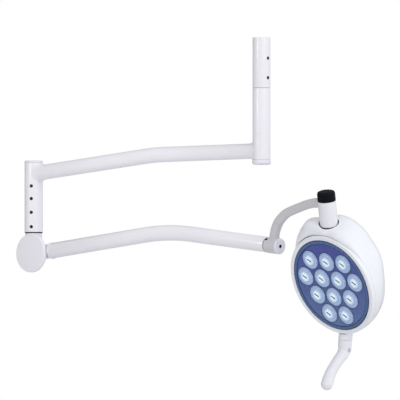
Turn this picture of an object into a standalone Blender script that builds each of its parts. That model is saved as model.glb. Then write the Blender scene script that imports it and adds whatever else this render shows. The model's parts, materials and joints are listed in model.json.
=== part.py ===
"""Ceiling surgical light with two arms, a cranked yoke and a round twelve-lens head.

Metres, +Z up. The origin is the centre of the ceiling tube's open top end. The upper arm runs
towards -X, the lower arm folds back under it, and the head faces -Y, tipped down.
"""

import math

import bmesh
import bpy
from mathutils import Matrix, Vector

GAP = 0.0003            # between pieces that touch
RUN = 0.0005            # between pieces that turn on each other
SIDES = 24              # facets round a tube

# Ceiling tube, and the sleeve that turns under it
TUBE_R = 0.025
TUBE_BORE_R = 0.022
TUBE_LENGTH = 0.142
ROD_SOCKET_DEPTH = 0.098
CEILING_SCREWS_Z = (-0.059, -0.114)
SLEEVE_BORE_R = 0.021
SLEEVE_BOTTOM_Z = -0.344
CAP_BOTTOM_Z = -0.358
CAP_R = 0.026
SPINDLE_R = 0.014

# Upper arm: nearly level, then falling to the elbow
UPPER_ARM_Z = -0.319
UPPER_BEND = Vector((-0.405, 0, -0.3204))
ELBOW_X = -0.869
UPPER_ARM_END_Z = -0.3626
ARM_R = 0.0215
ARM_BORE_R = 0.0187
BEND_R = 0.8

# Elbow post and the spindle that turns in it
POST_R = 0.026
POST_BORE_R = 0.0215
POST_TOP_Z = -0.325
POST_CAP_Z = -0.3315
POST_BOTTOM_Z = -0.529
BRAKE_SCREWS_Z = (-0.398, -0.434, -0.473, -0.514)
BRAKE_SCREW_AXIS = Vector((0.45, -0.893, 0)).normalized()
SCREW_R = 0.0045
ELBOW_SPINDLE_R = 0.015

# Knuckle under the post: a fork with a big front cheek and a small rear one, and a cross pin
KNUCKLE = Vector((-0.856, 0, -0.589))
FORK_NECK_R = 0.024
FORK_SLOT = 0.0143      # half the slot between the cheeks
CHEEK_R = 0.046
REAR_CHEEK_R = 0.0185
CHEEK_OUT = 0.024
COVER_R = 0.0550
COVER_IN, COVER_OUT = 0.0190, 0.030
REAR_CAP_R = 0.0160
REAR_CAP_OUT = 0.0275
EYE_R = 0.0255
EYE_HALF = 0.0135
EYE_BORE_R = 0.0150
PIN_R = 0.010
ARM_COLLAR = (0.0560, 0.0640)   # along the lower arm, clear of the cover as it tilts

# Lower arm: rising, then falling to the yoke
LOWER_BEND = Vector((-0.354, 0, -0.537))
LOWER_ARM_R = 0.0218
ARM_END = Vector((0.050, 0, -0.587))
ARM_END_FALL = math.radians(7)
COLLAR_R = 0.0238
SPRING_COILS = 12

# Yoke: its frame has x along the arm's end, y up the neck and z out of the lamp's front
YOKE_LEAN = math.radians(15.5)
YOKE_SLEEVE = (-0.026, 0.0155)
YOKE_SLEEVE_R = 0.0225
YOKE_BORE_R = 0.0173
ROLL_SPINDLE_R = 0.0125
YOKE_LINE = ((0.000, 0.008), (0.002, 0.026), (0.009, 0.047), (0.023, 0.070), (0.041, 0.088),
             (0.061, 0.102), (0.100, 0.119), (0.143, 0.135), (0.175, 0.1425), (0.209, 0.144))
YOKE_BAR = (0.0130, 0.0115)   # half height and half thickness
NECK_X = 0.215
NECK_R = 0.0255
NECK_BORE_R = 0.0215
NECK_BOTTOM, NECK_TOP = 0.080, 0.152
NECK_CAP_HEIGHT = 0.029

# Head: x as the yoke's, y up its face and z out of its front, tipped down from the neck
FACE_CENTRE = Vector((NECK_X, -0.0897, 0.0138))
FACE_TIP = math.radians(9.5)
HEAD_R = 0.1505
HEAD_FRONT = 0.047
HEAD_DEPTH = 0.125
ROUNDNESS = 2.5         # of the housing's back; 2 is a plain ellipse
SEAM_Z = 0.0317         # where the bezel meets the rear housing
SHELL = 0.003
NECK_HOLE_R = 0.0290
SHELL_LEVELS = (0.0317, 0.0310, 0.0290, 0.0260, 0.0200, 0.0, -0.022, -0.042, -0.058,
                -0.069, -0.0755, -0.078)
# The hood's (z, radius) outline straight above the face, at the same levels
HOOD_LINE = ((0.0317, 0.1512), (0.0420, 0.1516), (0.0435, 0.1560), (0.0375, 0.1650),
             (0.0260, 0.1700), (0.0, 0.1730), (-0.022, 0.1755), (-0.042, 0.1775),
             (-0.058, 0.1680), (-0.069, 0.1450), (-0.0755, 0.1050), (-0.078, 0.0))
# How much of the hood there is, by degrees from the neck towards +x
FRONT_SWELL = ((-95, 0.0), (-78, 0.05), (-56, 0.30), (-47, 0.62), (-36, 1.15), (-27, 1.65),
               (-19, 2.00), (-6, 1.35), (6, 0.90), (19, 1.00), (28, 0.85), (39, 0.60),
               (56, 0.25), (78, 0.05), (95, 0.0))
BACK_SWELL = ((-100, 0.0), (-85, 0.10), (-68, 0.31), (-56, 0.44), (-40, 0.57), (-32, 0.71),
              (-20, 0.86), (0, 1.0), (20, 0.86), (32, 0.71), (40, 0.57), (56, 0.44),
              (68, 0.31), (85, 0.10), (100, 0.0))
SEAM_SLOPE = (0.24, 0.28)    # of the gasket, towards +x and towards the front
PANEL_R = 0.1370
LENS_PITCH = 0.0615
LENS_R = 0.0278
LENS_ROWS = ((0.0712, (-1, 0, 1)), (0.0178, (-1.5, -0.5, 0.5, 1.5)),
             (-0.0356, (-1, 0, 1)), (-0.0890, (-0.5, 0.5)))

# Handle under the head: along y and z of the head's frame
HANDLE_LEAN = math.radians(24)
HANDLE_ROOT = Vector((0, -0.150, 0.029))
SOCKET_R = 0.0195
SOCKET_LENGTH = 0.024
SPIGOT_R = 0.0125
GRIP_LINE = ((0.0, 0.0193), (0.014, 0.0191), (0.028, 0.0182))
GRIP_BEND = ((-0.2075, 0.064, 0.0166), (-0.213, 0.079, 0.0156), (-0.222, 0.098, 0.0152),
             (-0.236, 0.122, 0.0156), (-0.253, 0.140, 0.0168))
GRIP_END = Vector((0, -0.2605, 0.1465))
GRIP_END_R = 0.0168
BUTTON = Vector((0, -0.1957, 0.0493))
BUTTON_R = 0.0058

WHITE = ((0.86, 0.86, 0.89), 0.35, 0.0)
CAST_WHITE = ((0.80, 0.80, 0.83), 0.40, 0.0)
GREY = ((0.52, 0.52, 0.55), 0.45, 0.0)
BLACK = ((0.01, 0.01, 0.012), 0.45, 0.0)
STEEL = ((0.55, 0.56, 0.58), 0.30, 1.0)
DARK_STEEL = ((0.06, 0.06, 0.07), 0.40, 1.0)
BRONZE = ((0.55, 0.36, 0.16), 0.40, 1.0)
NYLON = ((0.80, 0.79, 0.74), 0.55, 0.0)
BLUE = ((0.10, 0.15, 0.42), 0.30, 0.0)
LENS = ((0.62, 0.76, 0.92), 0.10, 0.0)
BOARD = ((0.75, 0.76, 0.74), 0.50, 0.0)
ALUMINIUM = ((0.62, 0.63, 0.65), 0.40, 1.0)
GRIP_WHITE = ((0.84, 0.83, 0.88), 0.50, 0.0)


# ---------------------------------------------------------------- frames

def frame(origin, x_axis, y_axis, z_axis):
    """A placement from an origin and three square axes."""
    placed = Matrix((x_axis, y_axis, z_axis)).transposed().to_4x4()
    placed.translation = origin
    return placed


def along(origin, axis, towards=(0, 1, 0)):
    """A frame with its local Z along axis and its local Y near towards."""
    z_axis = Vector(axis).normalized()
    y_axis = Vector(towards)
    y_axis = (y_axis - y_axis.dot(z_axis) * z_axis).normalized()
    return frame(origin, y_axis.cross(z_axis), y_axis, z_axis)


def yoke_frame():
    run = Vector((math.cos(ARM_END_FALL), 0, -math.sin(ARM_END_FALL)))
    upright = Vector((math.sin(ARM_END_FALL), 0, math.cos(ARM_END_FALL)))
    neck = upright * math.cos(YOKE_LEAN) + Vector((0, -1, 0)) * math.sin(YOKE_LEAN)
    return frame(ARM_END, run, neck, run.cross(neck))


YOKE = yoke_frame()
HEAD = (YOKE @ Matrix.Translation(FACE_CENTRE) @ Matrix.Rotation(FACE_TIP, 4, "X")
        @ Matrix.Translation((0, 0, -HEAD_FRONT)))
NECK_AXIS = YOKE @ Matrix.Translation((NECK_X, 0, 0)) @ Matrix.Rotation(-math.pi / 2, 4, "X")
ROLL_AXIS = YOKE @ Matrix.Rotation(math.pi / 2, 4, "Y")
ARM_RISE = (LOWER_BEND - KNUCKLE).normalized()
ARM_START = along(KNUCKLE, ARM_RISE)
HANDLE_DIR = Vector((0, -math.cos(HANDLE_LEAN), math.sin(HANDLE_LEAN)))
HANDLE_AXIS = HEAD @ along(HANDLE_ROOT, HANDLE_DIR, (1, 0, 0))
BUTTON_AXIS = HEAD @ along(BUTTON, (1, 0, 0))
STUD_AXIS = HEAD @ along((0, 0, 0.015), (0, -1, 0), (1, 0, 0))
ABOUT_Z = Matrix.Identity(4)
ACROSS = along(KNUCKLE, (0, 1, 0), (0, 0, 1))


# ---------------------------------------------------------------- objects

def clear_objects():
    for old in list(bpy.data.objects):
        bpy.data.objects.remove(old)


def material(finish):
    """One Principled material for each finish, made once."""
    colour, roughness, metallic = finish
    name = "finish_%03d_%03d_%03d" % tuple(int(100 * c) for c in colour)
    if name in bpy.data.materials:
        return bpy.data.materials[name]
    made = bpy.data.materials.new(name)
    made.use_nodes = True
    shader = made.node_tree.nodes["Principled BSDF"]
    shader.inputs["Base Color"].default_value = (*colour, 1)
    shader.inputs["Roughness"].default_value = roughness
    shader.inputs["Metallic"].default_value = metallic
    return made


def pivot(name, placed, parent=None):
    """An empty on a joint's axis, which carries the pieces that turn there."""
    empty = bpy.data.objects.new(name, None)
    empty.empty_display_size = 0.05
    bpy.context.collection.objects.link(empty)
    attach(empty, placed, parent)
    return empty


def attach(obj, placed, parent):
    obj.matrix_basis = placed
    obj["placed"] = [v for row in placed for v in row]
    if parent:
        flat = list(parent["placed"])
        stored = Matrix([flat[i:i + 4] for i in range(0, 16, 4)])
        obj.parent = parent
        obj.matrix_parent_inverse = stored.inverted()


def finish_mesh(name, bm, placed, finish, parent=None):
    """Turns a bmesh into a named, smooth-shaded object."""
    bmesh.ops.recalc_face_normals(bm, faces=bm.faces)
    mesh = bpy.data.meshes.new(name)
    bm.to_mesh(mesh)
    bm.free()
    mesh.shade_smooth()
    mesh.set_sharp_from_angle(angle=math.radians(35))
    obj = bpy.data.objects.new(name, mesh)
    bpy.context.collection.objects.link(obj)
    attach(obj, placed, parent)
    if finish:
        mesh.materials.append(material(finish))
    return obj


def boolean(obj, tool, operation="DIFFERENCE"):
    """Cuts or joins a helper into an object, and hides the helper."""
    tool.hide_render = True
    tool.display_type = "WIRE"
    step = obj.modifiers.new(operation.lower(), "BOOLEAN")
    step.operation = operation
    step.solver = "EXACT"
    step.object = tool


# ---------------------------------------------------------------- shapes

def lathe(profile, sides=SIDES):
    """A solid turned about local Z from (radius, height) points.

    A profile that starts and ends on the axis is solid; any other is closed into a ring.
    """
    bm = bmesh.new()
    points = [bm.verts.new((radius, 0, height)) for radius, height in profile]
    edges = [bm.edges.new(pair) for pair in zip(points, points[1:])]
    if profile[0][0] > 0:
        edges.append(bm.edges.new((points[-1], points[0])))
    bmesh.ops.spin(bm, geom=points + edges, cent=(0, 0, 0), axis=(0, 0, 1),
                   angle=2 * math.pi, steps=sides, use_merge=True)
    bmesh.ops.remove_doubles(bm, verts=bm.verts, dist=1e-6)
    return bm


def tube_profile(outer, inner, low, high):
    return ((outer, low), (outer, high), (inner, high), (inner, low))


def rod_profile(radius, low, high):
    return ((0, low), (radius, low), (radius, high), (0, high))


def turned(name, profile, placed, finish, parent=None, sides=SIDES):
    return finish_mesh(name, lathe(profile, sides), placed, finish, parent)


def loft(rings, closed=False):
    """A solid skinned over rings of points; closed joins the last ring to the first."""
    bm = bmesh.new()
    loops = [[bm.verts.new(p) for p in ring] for ring in rings]
    pairs = list(zip(loops, loops[1:]))
    if closed:
        pairs.append((loops[-1], loops[0]))
    else:
        bm.faces.new(loops[0])
        bm.faces.new(loops[-1])
    count = len(loops[0])
    for one, two in pairs:
        for i in range(count):
            k = (i + 1) % count
            bm.faces.new((one[i], one[k], two[k], two[i]))
    return bm


def ring(centre, tangent, radius, sides=SIDES, side=(0, 1, 0)):
    """A circle of points round a path."""
    placed = along(centre, tangent, side)
    turn = 2 * math.pi / sides
    return [placed @ Vector((radius * math.cos(i * turn), radius * math.sin(i * turn), 0))
            for i in range(sides)]


def bent_path(start, corner, end, steps=5):
    """Two straight runs joined by a round bend; gives (point, tangent) pairs."""
    before = (corner - start).normalized()
    after = (end - corner).normalized()
    sweep = before.angle(after)
    reach = BEND_R * math.tan(sweep / 2)
    inward = (after - before).normalized()
    centre = corner + inward * math.hypot(reach, BEND_R)
    first = corner - before * reach - centre
    axis = before.cross(after).normalized()
    path = [(start, before)]
    for i in range(steps + 1):
        turn = Matrix.Rotation(sweep * i / steps, 3, axis)
        path.append((centre + turn @ first, turn @ before))
    path.append((end, after))
    return path


def hollow_sweep(path, bore, sides=20):
    """A tube along a path of (point, tangent, outer radius)."""
    outer = [ring(point, tangent, radius, sides) for point, tangent, radius in path]
    inner = [ring(point, tangent, bore, sides) for point, tangent, _ in reversed(path)]
    return loft(outer + inner, closed=True)


def spline(points, steps=3):
    """A smooth curve through the points (Catmull-Rom)."""
    points = [Vector(p) for p in points]
    ends = [2 * points[0] - points[1]] + points + [2 * points[-1] - points[-2]]
    line = []
    for i in range(len(points) - 1):
        a, b, c, d = ends[i:i + 4]
        for k in range(steps):
            t = k / steps
            line.append(0.5 * (2 * b + (c - a) * t + (2 * a - 5 * b + 4 * c - d) * t * t
                               + (3 * b - a - 3 * c + d) * t ** 3))
    return line + [points[-1]]


def tangents(line):
    ends = [line[0]] + list(line) + [line[-1]]
    return [(ends[i + 2] - ends[i]).normalized() for i in range(len(line))]


def socket_screw(name, seat, axis, length, parent, radius=SCREW_R, finish=DARK_STEEL):
    """A set screw from its tip at seat, with a round socket in its outer end."""
    edge = radius * 0.15
    profile = ((0, 0), (radius, 0), (radius, length - edge), (radius - edge, length),
               (radius * 0.5, length), (radius * 0.5, length * 0.5), (0, length * 0.5))
    towards = (0, 0, 1) if abs(Vector(axis).normalized().z) < 0.9 else (1, 0, 0)
    return turned(name, profile, along(seat, axis, towards), finish, parent, 12)


def screw_hole(obj, seat, axis, radius=SCREW_R + GAP, length=0.012):
    """Drills the hole that a screw sits in."""
    towards = (0, 0, 1) if abs(Vector(axis).normalized().z) < 0.9 else (1, 0, 0)
    start = Vector(seat) - Vector(axis).normalized() * length / 2
    hole = turned("cut_hole", rod_profile(radius, 0, 2 * length), along(start, axis, towards),
                  None, None, 12)
    boolean(obj, hole)


# ---------------------------------------------------------------- ceiling tube

def build_ceiling_tube():
    tube = turned("ceiling_tube", tube_profile(TUBE_R, TUBE_BORE_R, -TUBE_LENGTH, 0),
                  ABOUT_Z, WHITE)
    names = ("ceiling_screw_upper", "ceiling_screw_lower")
    for name, height in zip(names, CEILING_SCREWS_Z):
        seat = Vector((TUBE_BORE_R + 0.0001, 0, height))
        screw_hole(tube, seat, (1, 0, 0))
        socket_screw(name, seat, (1, 0, 0), 0.0042, None)
    plug_r = TUBE_BORE_R - GAP - 0.0001
    turned("swivel_spindle",
           ((0, -ROD_SOCKET_DEPTH), (plug_r, -ROD_SOCKET_DEPTH), (plug_r, -TUBE_LENGTH),
            (SPINDLE_R, -TUBE_LENGTH), (SPINDLE_R, -0.2853), (0.012, -0.2853),
            (0.012, -0.305), (0, -0.305)), ABOUT_Z, STEEL, None, 20)
    turned("spindle_nut", tube_profile(0.0185, 0.0123, -0.2995, -0.2857), ABOUT_Z, STEEL,
           None, 20)


# ---------------------------------------------------------------- upper arm

def build_upper_arm(body):
    turned("swivel_bush", tube_profile(SLEEVE_BORE_R - GAP, SPINDLE_R + RUN, -0.2852, -0.148),
           ABOUT_Z, BRONZE, body, 20)
    turned("upper_sleeve",
           tube_profile(TUBE_R, SLEEVE_BORE_R, SLEEVE_BOTTOM_Z, -TUBE_LENGTH - 0.0008),
           ABOUT_Z, WHITE, body)
    top = SLEEVE_BOTTOM_Z - GAP
    plug_r = SLEEVE_BORE_R - GAP
    turned("sleeve_end_cap",
           ((0, CAP_BOTTOM_Z), (CAP_R - 0.003, CAP_BOTTOM_Z), (CAP_R, CAP_BOTTOM_Z + 0.003),
            (CAP_R, top), (plug_r, top), (plug_r, top + 0.008), (0, top + 0.008)),
           ABOUT_Z, CAST_WHITE, body)

    start = Vector((-0.008, 0, UPPER_ARM_Z))
    end = Vector((ELBOW_X + 0.008, 0, UPPER_ARM_END_Z))
    bend = bent_path(start, UPPER_BEND, end)
    flare = COLLAR_R - 0.0006
    path = [(start, bend[0][1], flare)]
    path += [(start + bend[0][1] * 0.026, bend[0][1], flare),
             (start + bend[0][1] * 0.030, bend[0][1], ARM_R)]
    path += [(point, tangent, ARM_R) for point, tangent in bend[1:-1]]
    path += [(end - bend[-1][1] * 0.031, bend[-1][1], ARM_R),
             (end - bend[-1][1] * 0.027, bend[-1][1], flare), (end, bend[-1][1], flare)]
    arm = finish_mesh("upper_arm_tube", hollow_sweep(path, ARM_BORE_R), ABOUT_Z, WHITE, body)
    for x, radius, name in ((0, TUBE_R, "cut_sleeve"), (ELBOW_X, POST_R, "cut_post")):
        boolean(arm, turned(name, rod_profile(radius + GAP, -0.45, -0.25),
                            Matrix.Translation((x, 0, 0)), None))


def build_elbow_post(body):
    at_post = Matrix.Translation((ELBOW_X, 0, 0))
    post = turned("elbow_post", tube_profile(POST_R, POST_BORE_R, POST_BOTTOM_Z, POST_CAP_Z),
                  at_post, WHITE, body)
    for i, height in enumerate(BRAKE_SCREWS_Z):
        seat = Vector((ELBOW_X, 0, height)) + BRAKE_SCREW_AXIS * (POST_BORE_R + 0.0001)
        screw_hole(post, seat, BRAKE_SCREW_AXIS)
        socket_screw("brake_screw_%d" % (i + 1), seat, BRAKE_SCREW_AXIS, 0.0052, body)
    low = POST_CAP_Z + GAP
    plug_r = POST_BORE_R - GAP
    turned("elbow_post_cap",
           ((0, low - 0.005), (plug_r, low - 0.005), (plug_r, low), (POST_R, low),
            (POST_R, POST_TOP_Z - 0.0015), (POST_R - 0.002, POST_TOP_Z), (0, POST_TOP_Z)),
           at_post, CAST_WHITE, body)
    bore = ELBOW_SPINDLE_R + RUN
    turned("elbow_bush", tube_profile(plug_r, bore, -0.3835, -0.3470), at_post, BRONZE, body, 20)
    turned("brake_sleeve", tube_profile(plug_r, bore, -0.5270, -0.3840), at_post, NYLON, body, 20)


# ---------------------------------------------------------------- knuckle

def build_knuckle(body):
    at_post = Matrix.Translation((ELBOW_X, 0, 0))
    groove = ELBOW_SPINDLE_R - 0.0015
    turned("elbow_spindle",
           ((0, -0.5450), (ELBOW_SPINDLE_R, -0.5450), (ELBOW_SPINDLE_R, -0.3466),
            (groove, -0.3466), (groove, -0.3446), (ELBOW_SPINDLE_R, -0.3446),
            (ELBOW_SPINDLE_R, -0.3400), (0, -0.3400)), at_post, STEEL, body, 20)
    turned("elbow_circlip", tube_profile(0.0195, groove + 0.0004, -0.3462, -0.3450), at_post,
           DARK_STEEL, body, 20)
    turned("elbow_thrust_ring", tube_profile(POST_R - 0.0004, ELBOW_SPINDLE_R + GAP,
                                             -0.5311, -0.5294), at_post, BLACK, body)
    build_fork(body)
    turned("knuckle_pin", rod_profile(PIN_R, -CHEEK_OUT, CHEEK_OUT), ACROSS, STEEL, body, 20)
    build_front_cover(body)
    turned("hub_cap_rear",
           ((0, CHEEK_OUT + GAP), (REAR_CAP_R, CHEEK_OUT + GAP),
            (REAR_CAP_R, REAR_CAP_OUT - 0.0012), (REAR_CAP_R - 0.0012, REAR_CAP_OUT),
            (0, REAR_CAP_OUT)), ACROSS, CAST_WHITE, body)


def build_fork(body):
    """A neck under the post that carries the two cheeks."""
    neck_low = KNUCKLE.z + EYE_R + 0.0008
    at_post = Matrix.Translation((ELBOW_X, 0, 0))
    fork = turned("knuckle_fork", rod_profile(FORK_NECK_R, KNUCKLE.z + 0.001, -0.5314),
                  at_post, CAST_WHITE, body, 20)
    inner = FORK_SLOT + GAP
    front = turned("join_front", rod_profile(CHEEK_R, -CHEEK_OUT, -inner), ACROSS, None)
    rear = turned("join_rear", rod_profile(REAR_CHEEK_R, inner, CHEEK_OUT), ACROSS, None)
    for cheek in (front, rear):
        boolean(fork, cheek, "UNION")
    slot = finish_mesh("cut_slot", box((-0.96, -FORK_SLOT, -0.70), (-0.76, FORK_SLOT, neck_low)),
                       ABOUT_Z, None)
    boolean(fork, slot)
    boolean(fork, turned("cut_pin", rod_profile(PIN_R + GAP, -0.1, 0.1), ACROSS, None, None, 20))
    boolean(fork, turned("cut_spindle", rod_profile(ELBOW_SPINDLE_R + GAP, -0.5453, -0.50),
                         at_post, None, None, 20))


def build_front_cover(body):
    """A round cup over the front cheek, notched where the fork's neck comes down."""
    placed = along(KNUCKLE, (0, -1, 0), (0, 0, 1))
    wall = 0.0050
    cup = turned("hub_cover_front",
                 ((0, CHEEK_OUT + GAP), (COVER_R - wall, CHEEK_OUT + GAP),
                  (COVER_R - wall, COVER_IN), (COVER_R, COVER_IN),
                  (COVER_R, COVER_OUT - 0.0035), (COVER_R - 0.0012, COVER_OUT - 0.0012),
                  (COVER_R - 0.0040, COVER_OUT - 0.0002), (0, COVER_OUT)),
                 placed, WHITE, body, 40)
    notch = turned("cut_neck", rod_profile(FORK_NECK_R + GAP, KNUCKLE.z + 0.03, -0.50),
                   Matrix.Translation((ELBOW_X, 0, 0)), None, None, 20)
    boolean(cup, notch)


def box(low, high):
    bm = bmesh.new()
    bmesh.ops.create_cube(bm, size=1)
    low, high = Vector(low), Vector(high)
    bmesh.ops.scale(bm, vec=high - low, verts=bm.verts)
    bmesh.ops.translate(bm, vec=(low + high) / 2, verts=bm.verts)
    return bm


# ---------------------------------------------------------------- lower arm

def build_lower_arm(body):
    low, high = ARM_COLLAR
    root = turned("arm_root",
                  ((0, low), (COLLAR_R - 0.0015, low), (COLLAR_R, low + 0.0015),
                   (COLLAR_R, high - 0.0012), (COLLAR_R - 0.0012, high), (0.0183, high),
                   (0.0183, 0.1000), (0, 0.1000)), ARM_START, CAST_WHITE, body)
    eye = turned("join_eye", rod_profile(EYE_R, -EYE_HALF, EYE_HALF), ACROSS, None)
    web = finish_mesh("join_web", box((-0.019, -EYE_HALF, 0), (0.019, EYE_HALF, 0.060)),
                      ARM_START, None)
    boolean(root, eye, "UNION")
    boolean(root, web, "UNION")
    boolean(root, turned("cut_eye", rod_profile(EYE_BORE_R, -0.1, 0.1), ACROSS, None, None, 20))
    boolean(root, turned("cut_rod", rod_profile(0.0055, 0.0, 0.2), ARM_START, None, None, 12))
    turned("knuckle_bush", tube_profile(EYE_BORE_R - GAP, PIN_R + RUN, -EYE_HALF, EYE_HALF),
           ACROSS, BRONZE, body, 20)

    run = YOKE.to_3x3() @ Vector((1, 0, 0))
    start = KNUCKLE + ARM_RISE * (high + GAP)
    end = ARM_END - run * 0.0280
    path = [(point, tangent, LOWER_ARM_R) for point, tangent in bent_path(start, LOWER_BEND, end)]
    finish_mesh("lower_arm_tube", hollow_sweep(path, ARM_BORE_R), ABOUT_Z, WHITE, body)
    build_balance_spring(body)
    plug_r = ARM_BORE_R - GAP - 0.0003
    turned("roll_spindle",
           ((0, -0.080), (plug_r, -0.080), (plug_r, -0.0277), (0.0212, -0.0277),
            (0.0212, -0.0264), (ROLL_SPINDLE_R, -0.0264), (ROLL_SPINDLE_R, 0.0045),
            (0.0160, 0.0045), (0.0160, 0.0100), (0, 0.0100)), ROLL_AXIS, DARK_STEEL, body, 20)


def build_balance_spring(body):
    """A coil spring between the arm root and the plunger, round the pull rod."""
    wire_r, coil_r = 0.0018, 0.0150
    low, high = 0.1030, 0.3220
    steps = SPRING_COILS * 8
    line = []
    for i in range(steps + 1):
        turn = 2 * math.pi * SPRING_COILS * i / steps
        line.append(Vector((coil_r * math.cos(turn), coil_r * math.sin(turn),
                            low + (high - low) * i / steps)))
    rings = [ring(point, tangent, wire_r, 4, (0, 0, 1))
             for point, tangent in zip(line, tangents(line))]
    finish_mesh("balance_spring", loft(rings), ARM_START, STEEL, body)


def build_plunger(body):
    turned("spring_plunger",
           ((0, 0.0450), (0.0040, 0.0450), (0.0040, 0.3245), (0.0178, 0.3245),
            (0.0178, 0.3345), (0, 0.3345)), ARM_START, STEEL, body, 16)


# ---------------------------------------------------------------- yoke

def yoke_bar():
    """A flat-sided bar with rounded corners along the cranked line."""
    half_height, half_thick = YOKE_BAR
    corner = 0.005
    line = spline([(x, y, 0) for x, y in YOKE_LINE], 2)
    rings = []
    for point, tangent in zip(line, tangents(line)):
        up = Vector((-tangent.y, tangent.x, 0))
        section = []
        for a, b, start in ((1, 1, 0), (-1, 1, 90), (-1, -1, 180), (1, -1, 270)):
            for k in (0, 45, 90):
                turn = math.radians(start + k)
                section.append(point + up * (a * (half_height - corner) + corner * math.cos(turn))
                               + Vector((0, 0, b * (half_thick - corner)
                                         + corner * math.sin(turn))))
        rings.append(section)
    return loft(rings)


def build_yoke(body):
    low, high = YOKE_SLEEVE
    yoke = turned("yoke_casting", rod_profile(YOKE_SLEEVE_R, low, high), ROLL_AXIS, GREY, body)
    boolean(yoke, finish_mesh("join_bar", yoke_bar(), YOKE, None), "UNION")
    boolean(yoke, turned("cut_bore", rod_profile(YOKE_BORE_R, -0.1, 0.1), ROLL_AXIS, None))
    boolean(yoke, turned("cut_neck_seat", rod_profile(NECK_R + GAP, 0.0, 0.3), NECK_AXIS, None))
    lean = math.radians(30)
    screw_axis = YOKE.to_3x3() @ Vector((0, math.cos(lean), math.sin(lean)))
    seat = YOKE @ Vector((-0.020, 0, 0)) + screw_axis * (YOKE_BORE_R + 0.0002)
    screw_hole(yoke, seat, screw_axis, 0.0040 + GAP)
    socket_screw("roll_stop_screw", seat, screw_axis, 0.0062, body, 0.0040)

    turned("yoke_bush", tube_profile(YOKE_BORE_R - GAP, ROLL_SPINDLE_R + RUN, -0.0258, 0.0040),
           ROLL_AXIS, BRONZE, body, 20)
    top = high + GAP
    turned("yoke_end_cap",
           ((0.0053, top - 0.0050), (YOKE_BORE_R - GAP - 0.0001, top - 0.0050),
            (YOKE_BORE_R - GAP - 0.0001, top), (YOKE_SLEEVE_R, top),
            (YOKE_SLEEVE_R, top + 0.0035), (YOKE_SLEEVE_R - 0.0025, top + 0.0060),
            (0.0053, top + 0.0060)), ROLL_AXIS, CAST_WHITE, body)
    seat = YOKE @ Vector((top - 0.0040, 0, 0))
    socket_screw("yoke_cap_screw", seat, YOKE.to_3x3() @ Vector((1, 0, 0)), 0.0108, body, 0.0050)

    turned("neck_tube", tube_profile(NECK_R, NECK_BORE_R, NECK_BOTTOM, NECK_TOP), NECK_AXIS,
           WHITE, body)
    plug_r = NECK_BORE_R - GAP
    base = NECK_TOP + GAP
    tip = base + NECK_CAP_HEIGHT
    turned("neck_cap",
           ((0, base - 0.012), (plug_r, base - 0.012), (plug_r, base), (NECK_R, base),
            (NECK_R, tip - 0.0040), (NECK_R - 0.0030, tip - 0.0010), (0, tip)),
           NECK_AXIS, BLACK, body)
    turned("neck_bush", tube_profile(plug_r, ELBOW_SPINDLE_R + RUN, 0.0860, 0.1270), NECK_AXIS,
           BRONZE, body, 20)


# ---------------------------------------------------------------- head

def smooth_step(start, end, value):
    t = min(max((value - start) / (end - start), 0.0), 1.0)
    return t * t * (3 - 2 * t)


def table_value(table, at):
    """Reads a table of (position, value), easing between its rows and level beyond its ends."""
    value = table[0][1]
    for (low, _), (high, after) in zip(table, table[1:]):
        value += (after - value) * smooth_step(low, high, at) if at > low else 0.0
    return value


def shell_profile(angle):
    """The housing's outer (z, radius) line at one angle from the neck, from seam to back."""
    front, back = table_value(FRONT_SWELL, angle), table_value(BACK_SWELL, angle)
    line = []
    for base_z, (hood_z, hood_r) in zip(SHELL_LEVELS, HOOD_LINE):
        depth = (HEAD_FRONT - base_z) / HEAD_DEPTH
        base_r = HEAD_R * max(0.0, 1 - depth ** ROUNDNESS) ** (1 / ROUNDNESS)
        swell = front + (back - front) * smooth_step(-0.022, 0.040, -base_z)
        line.append((base_z + (hood_z - base_z) * min(swell, 1),
                     base_r + (hood_r - base_r) * swell))
    return line


def inner_profile(outer):
    """The same line one wall further in; its edge stays in the seam."""
    line = [(SEAM_Z, outer[0][1] - SHELL)]
    for before, point, after in zip(outer, outer[1:], outer[2:]):
        back, inwards = before[0] - after[0], max(before[1] - after[1], -1)
        outwards = max(back, 0.0)
        size = math.hypot(outwards, inwards)
        line.append((point[0] + SHELL * inwards / size, point[1] - SHELL * outwards / size))
    line[1] = (min(line[1][0], SEAM_Z - 0.0025), line[1][1])
    return line + [(outer[-1][0] + SHELL, 0.0)]


def build_rear_housing(body):
    sides = 40
    angles = [-180 + 360 * i / sides for i in range(sides)]
    bm = bmesh.new()
    outer = [shell_profile(angle) for angle in angles]
    inner = [inner_profile(line) for line in outer]

    def row(lines, k):
        made = []
        for angle, line in zip(angles, lines):
            turn = math.radians(angle)
            z, radius = line[k]
            made.append(bm.verts.new((radius * math.sin(turn), radius * math.cos(turn), z)))
        return made

    last = len(HOOD_LINE) - 1
    rows = [row(outer, k) for k in reversed(range(last))] + [row(inner, k) for k in range(last)]
    for one, two in zip(rows, rows[1:]):
        for i in range(sides):
            j = (i + 1) % sides
            bm.faces.new((one[i], one[j], two[j], two[i]))
    for rim, lines in ((rows[0], outer), (rows[-1], inner)):
        tip = bm.verts.new((0, 0, lines[0][last][0]))
        for i in range(sides):
            bm.faces.new((rim[i], rim[(i + 1) % sides], tip))
    housing = finish_mesh("rear_housing", bm, HEAD, WHITE, body)
    boolean(housing, turned("cut_neck_hole", rod_profile(NECK_HOLE_R, 0.02, 0.20), NECK_AXIS,
                            None))
    boolean(housing, turned("cut_stud", rod_profile(0.0083, 0.12, 0.16), STUD_AXIS, None, None,
                            12))


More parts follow.
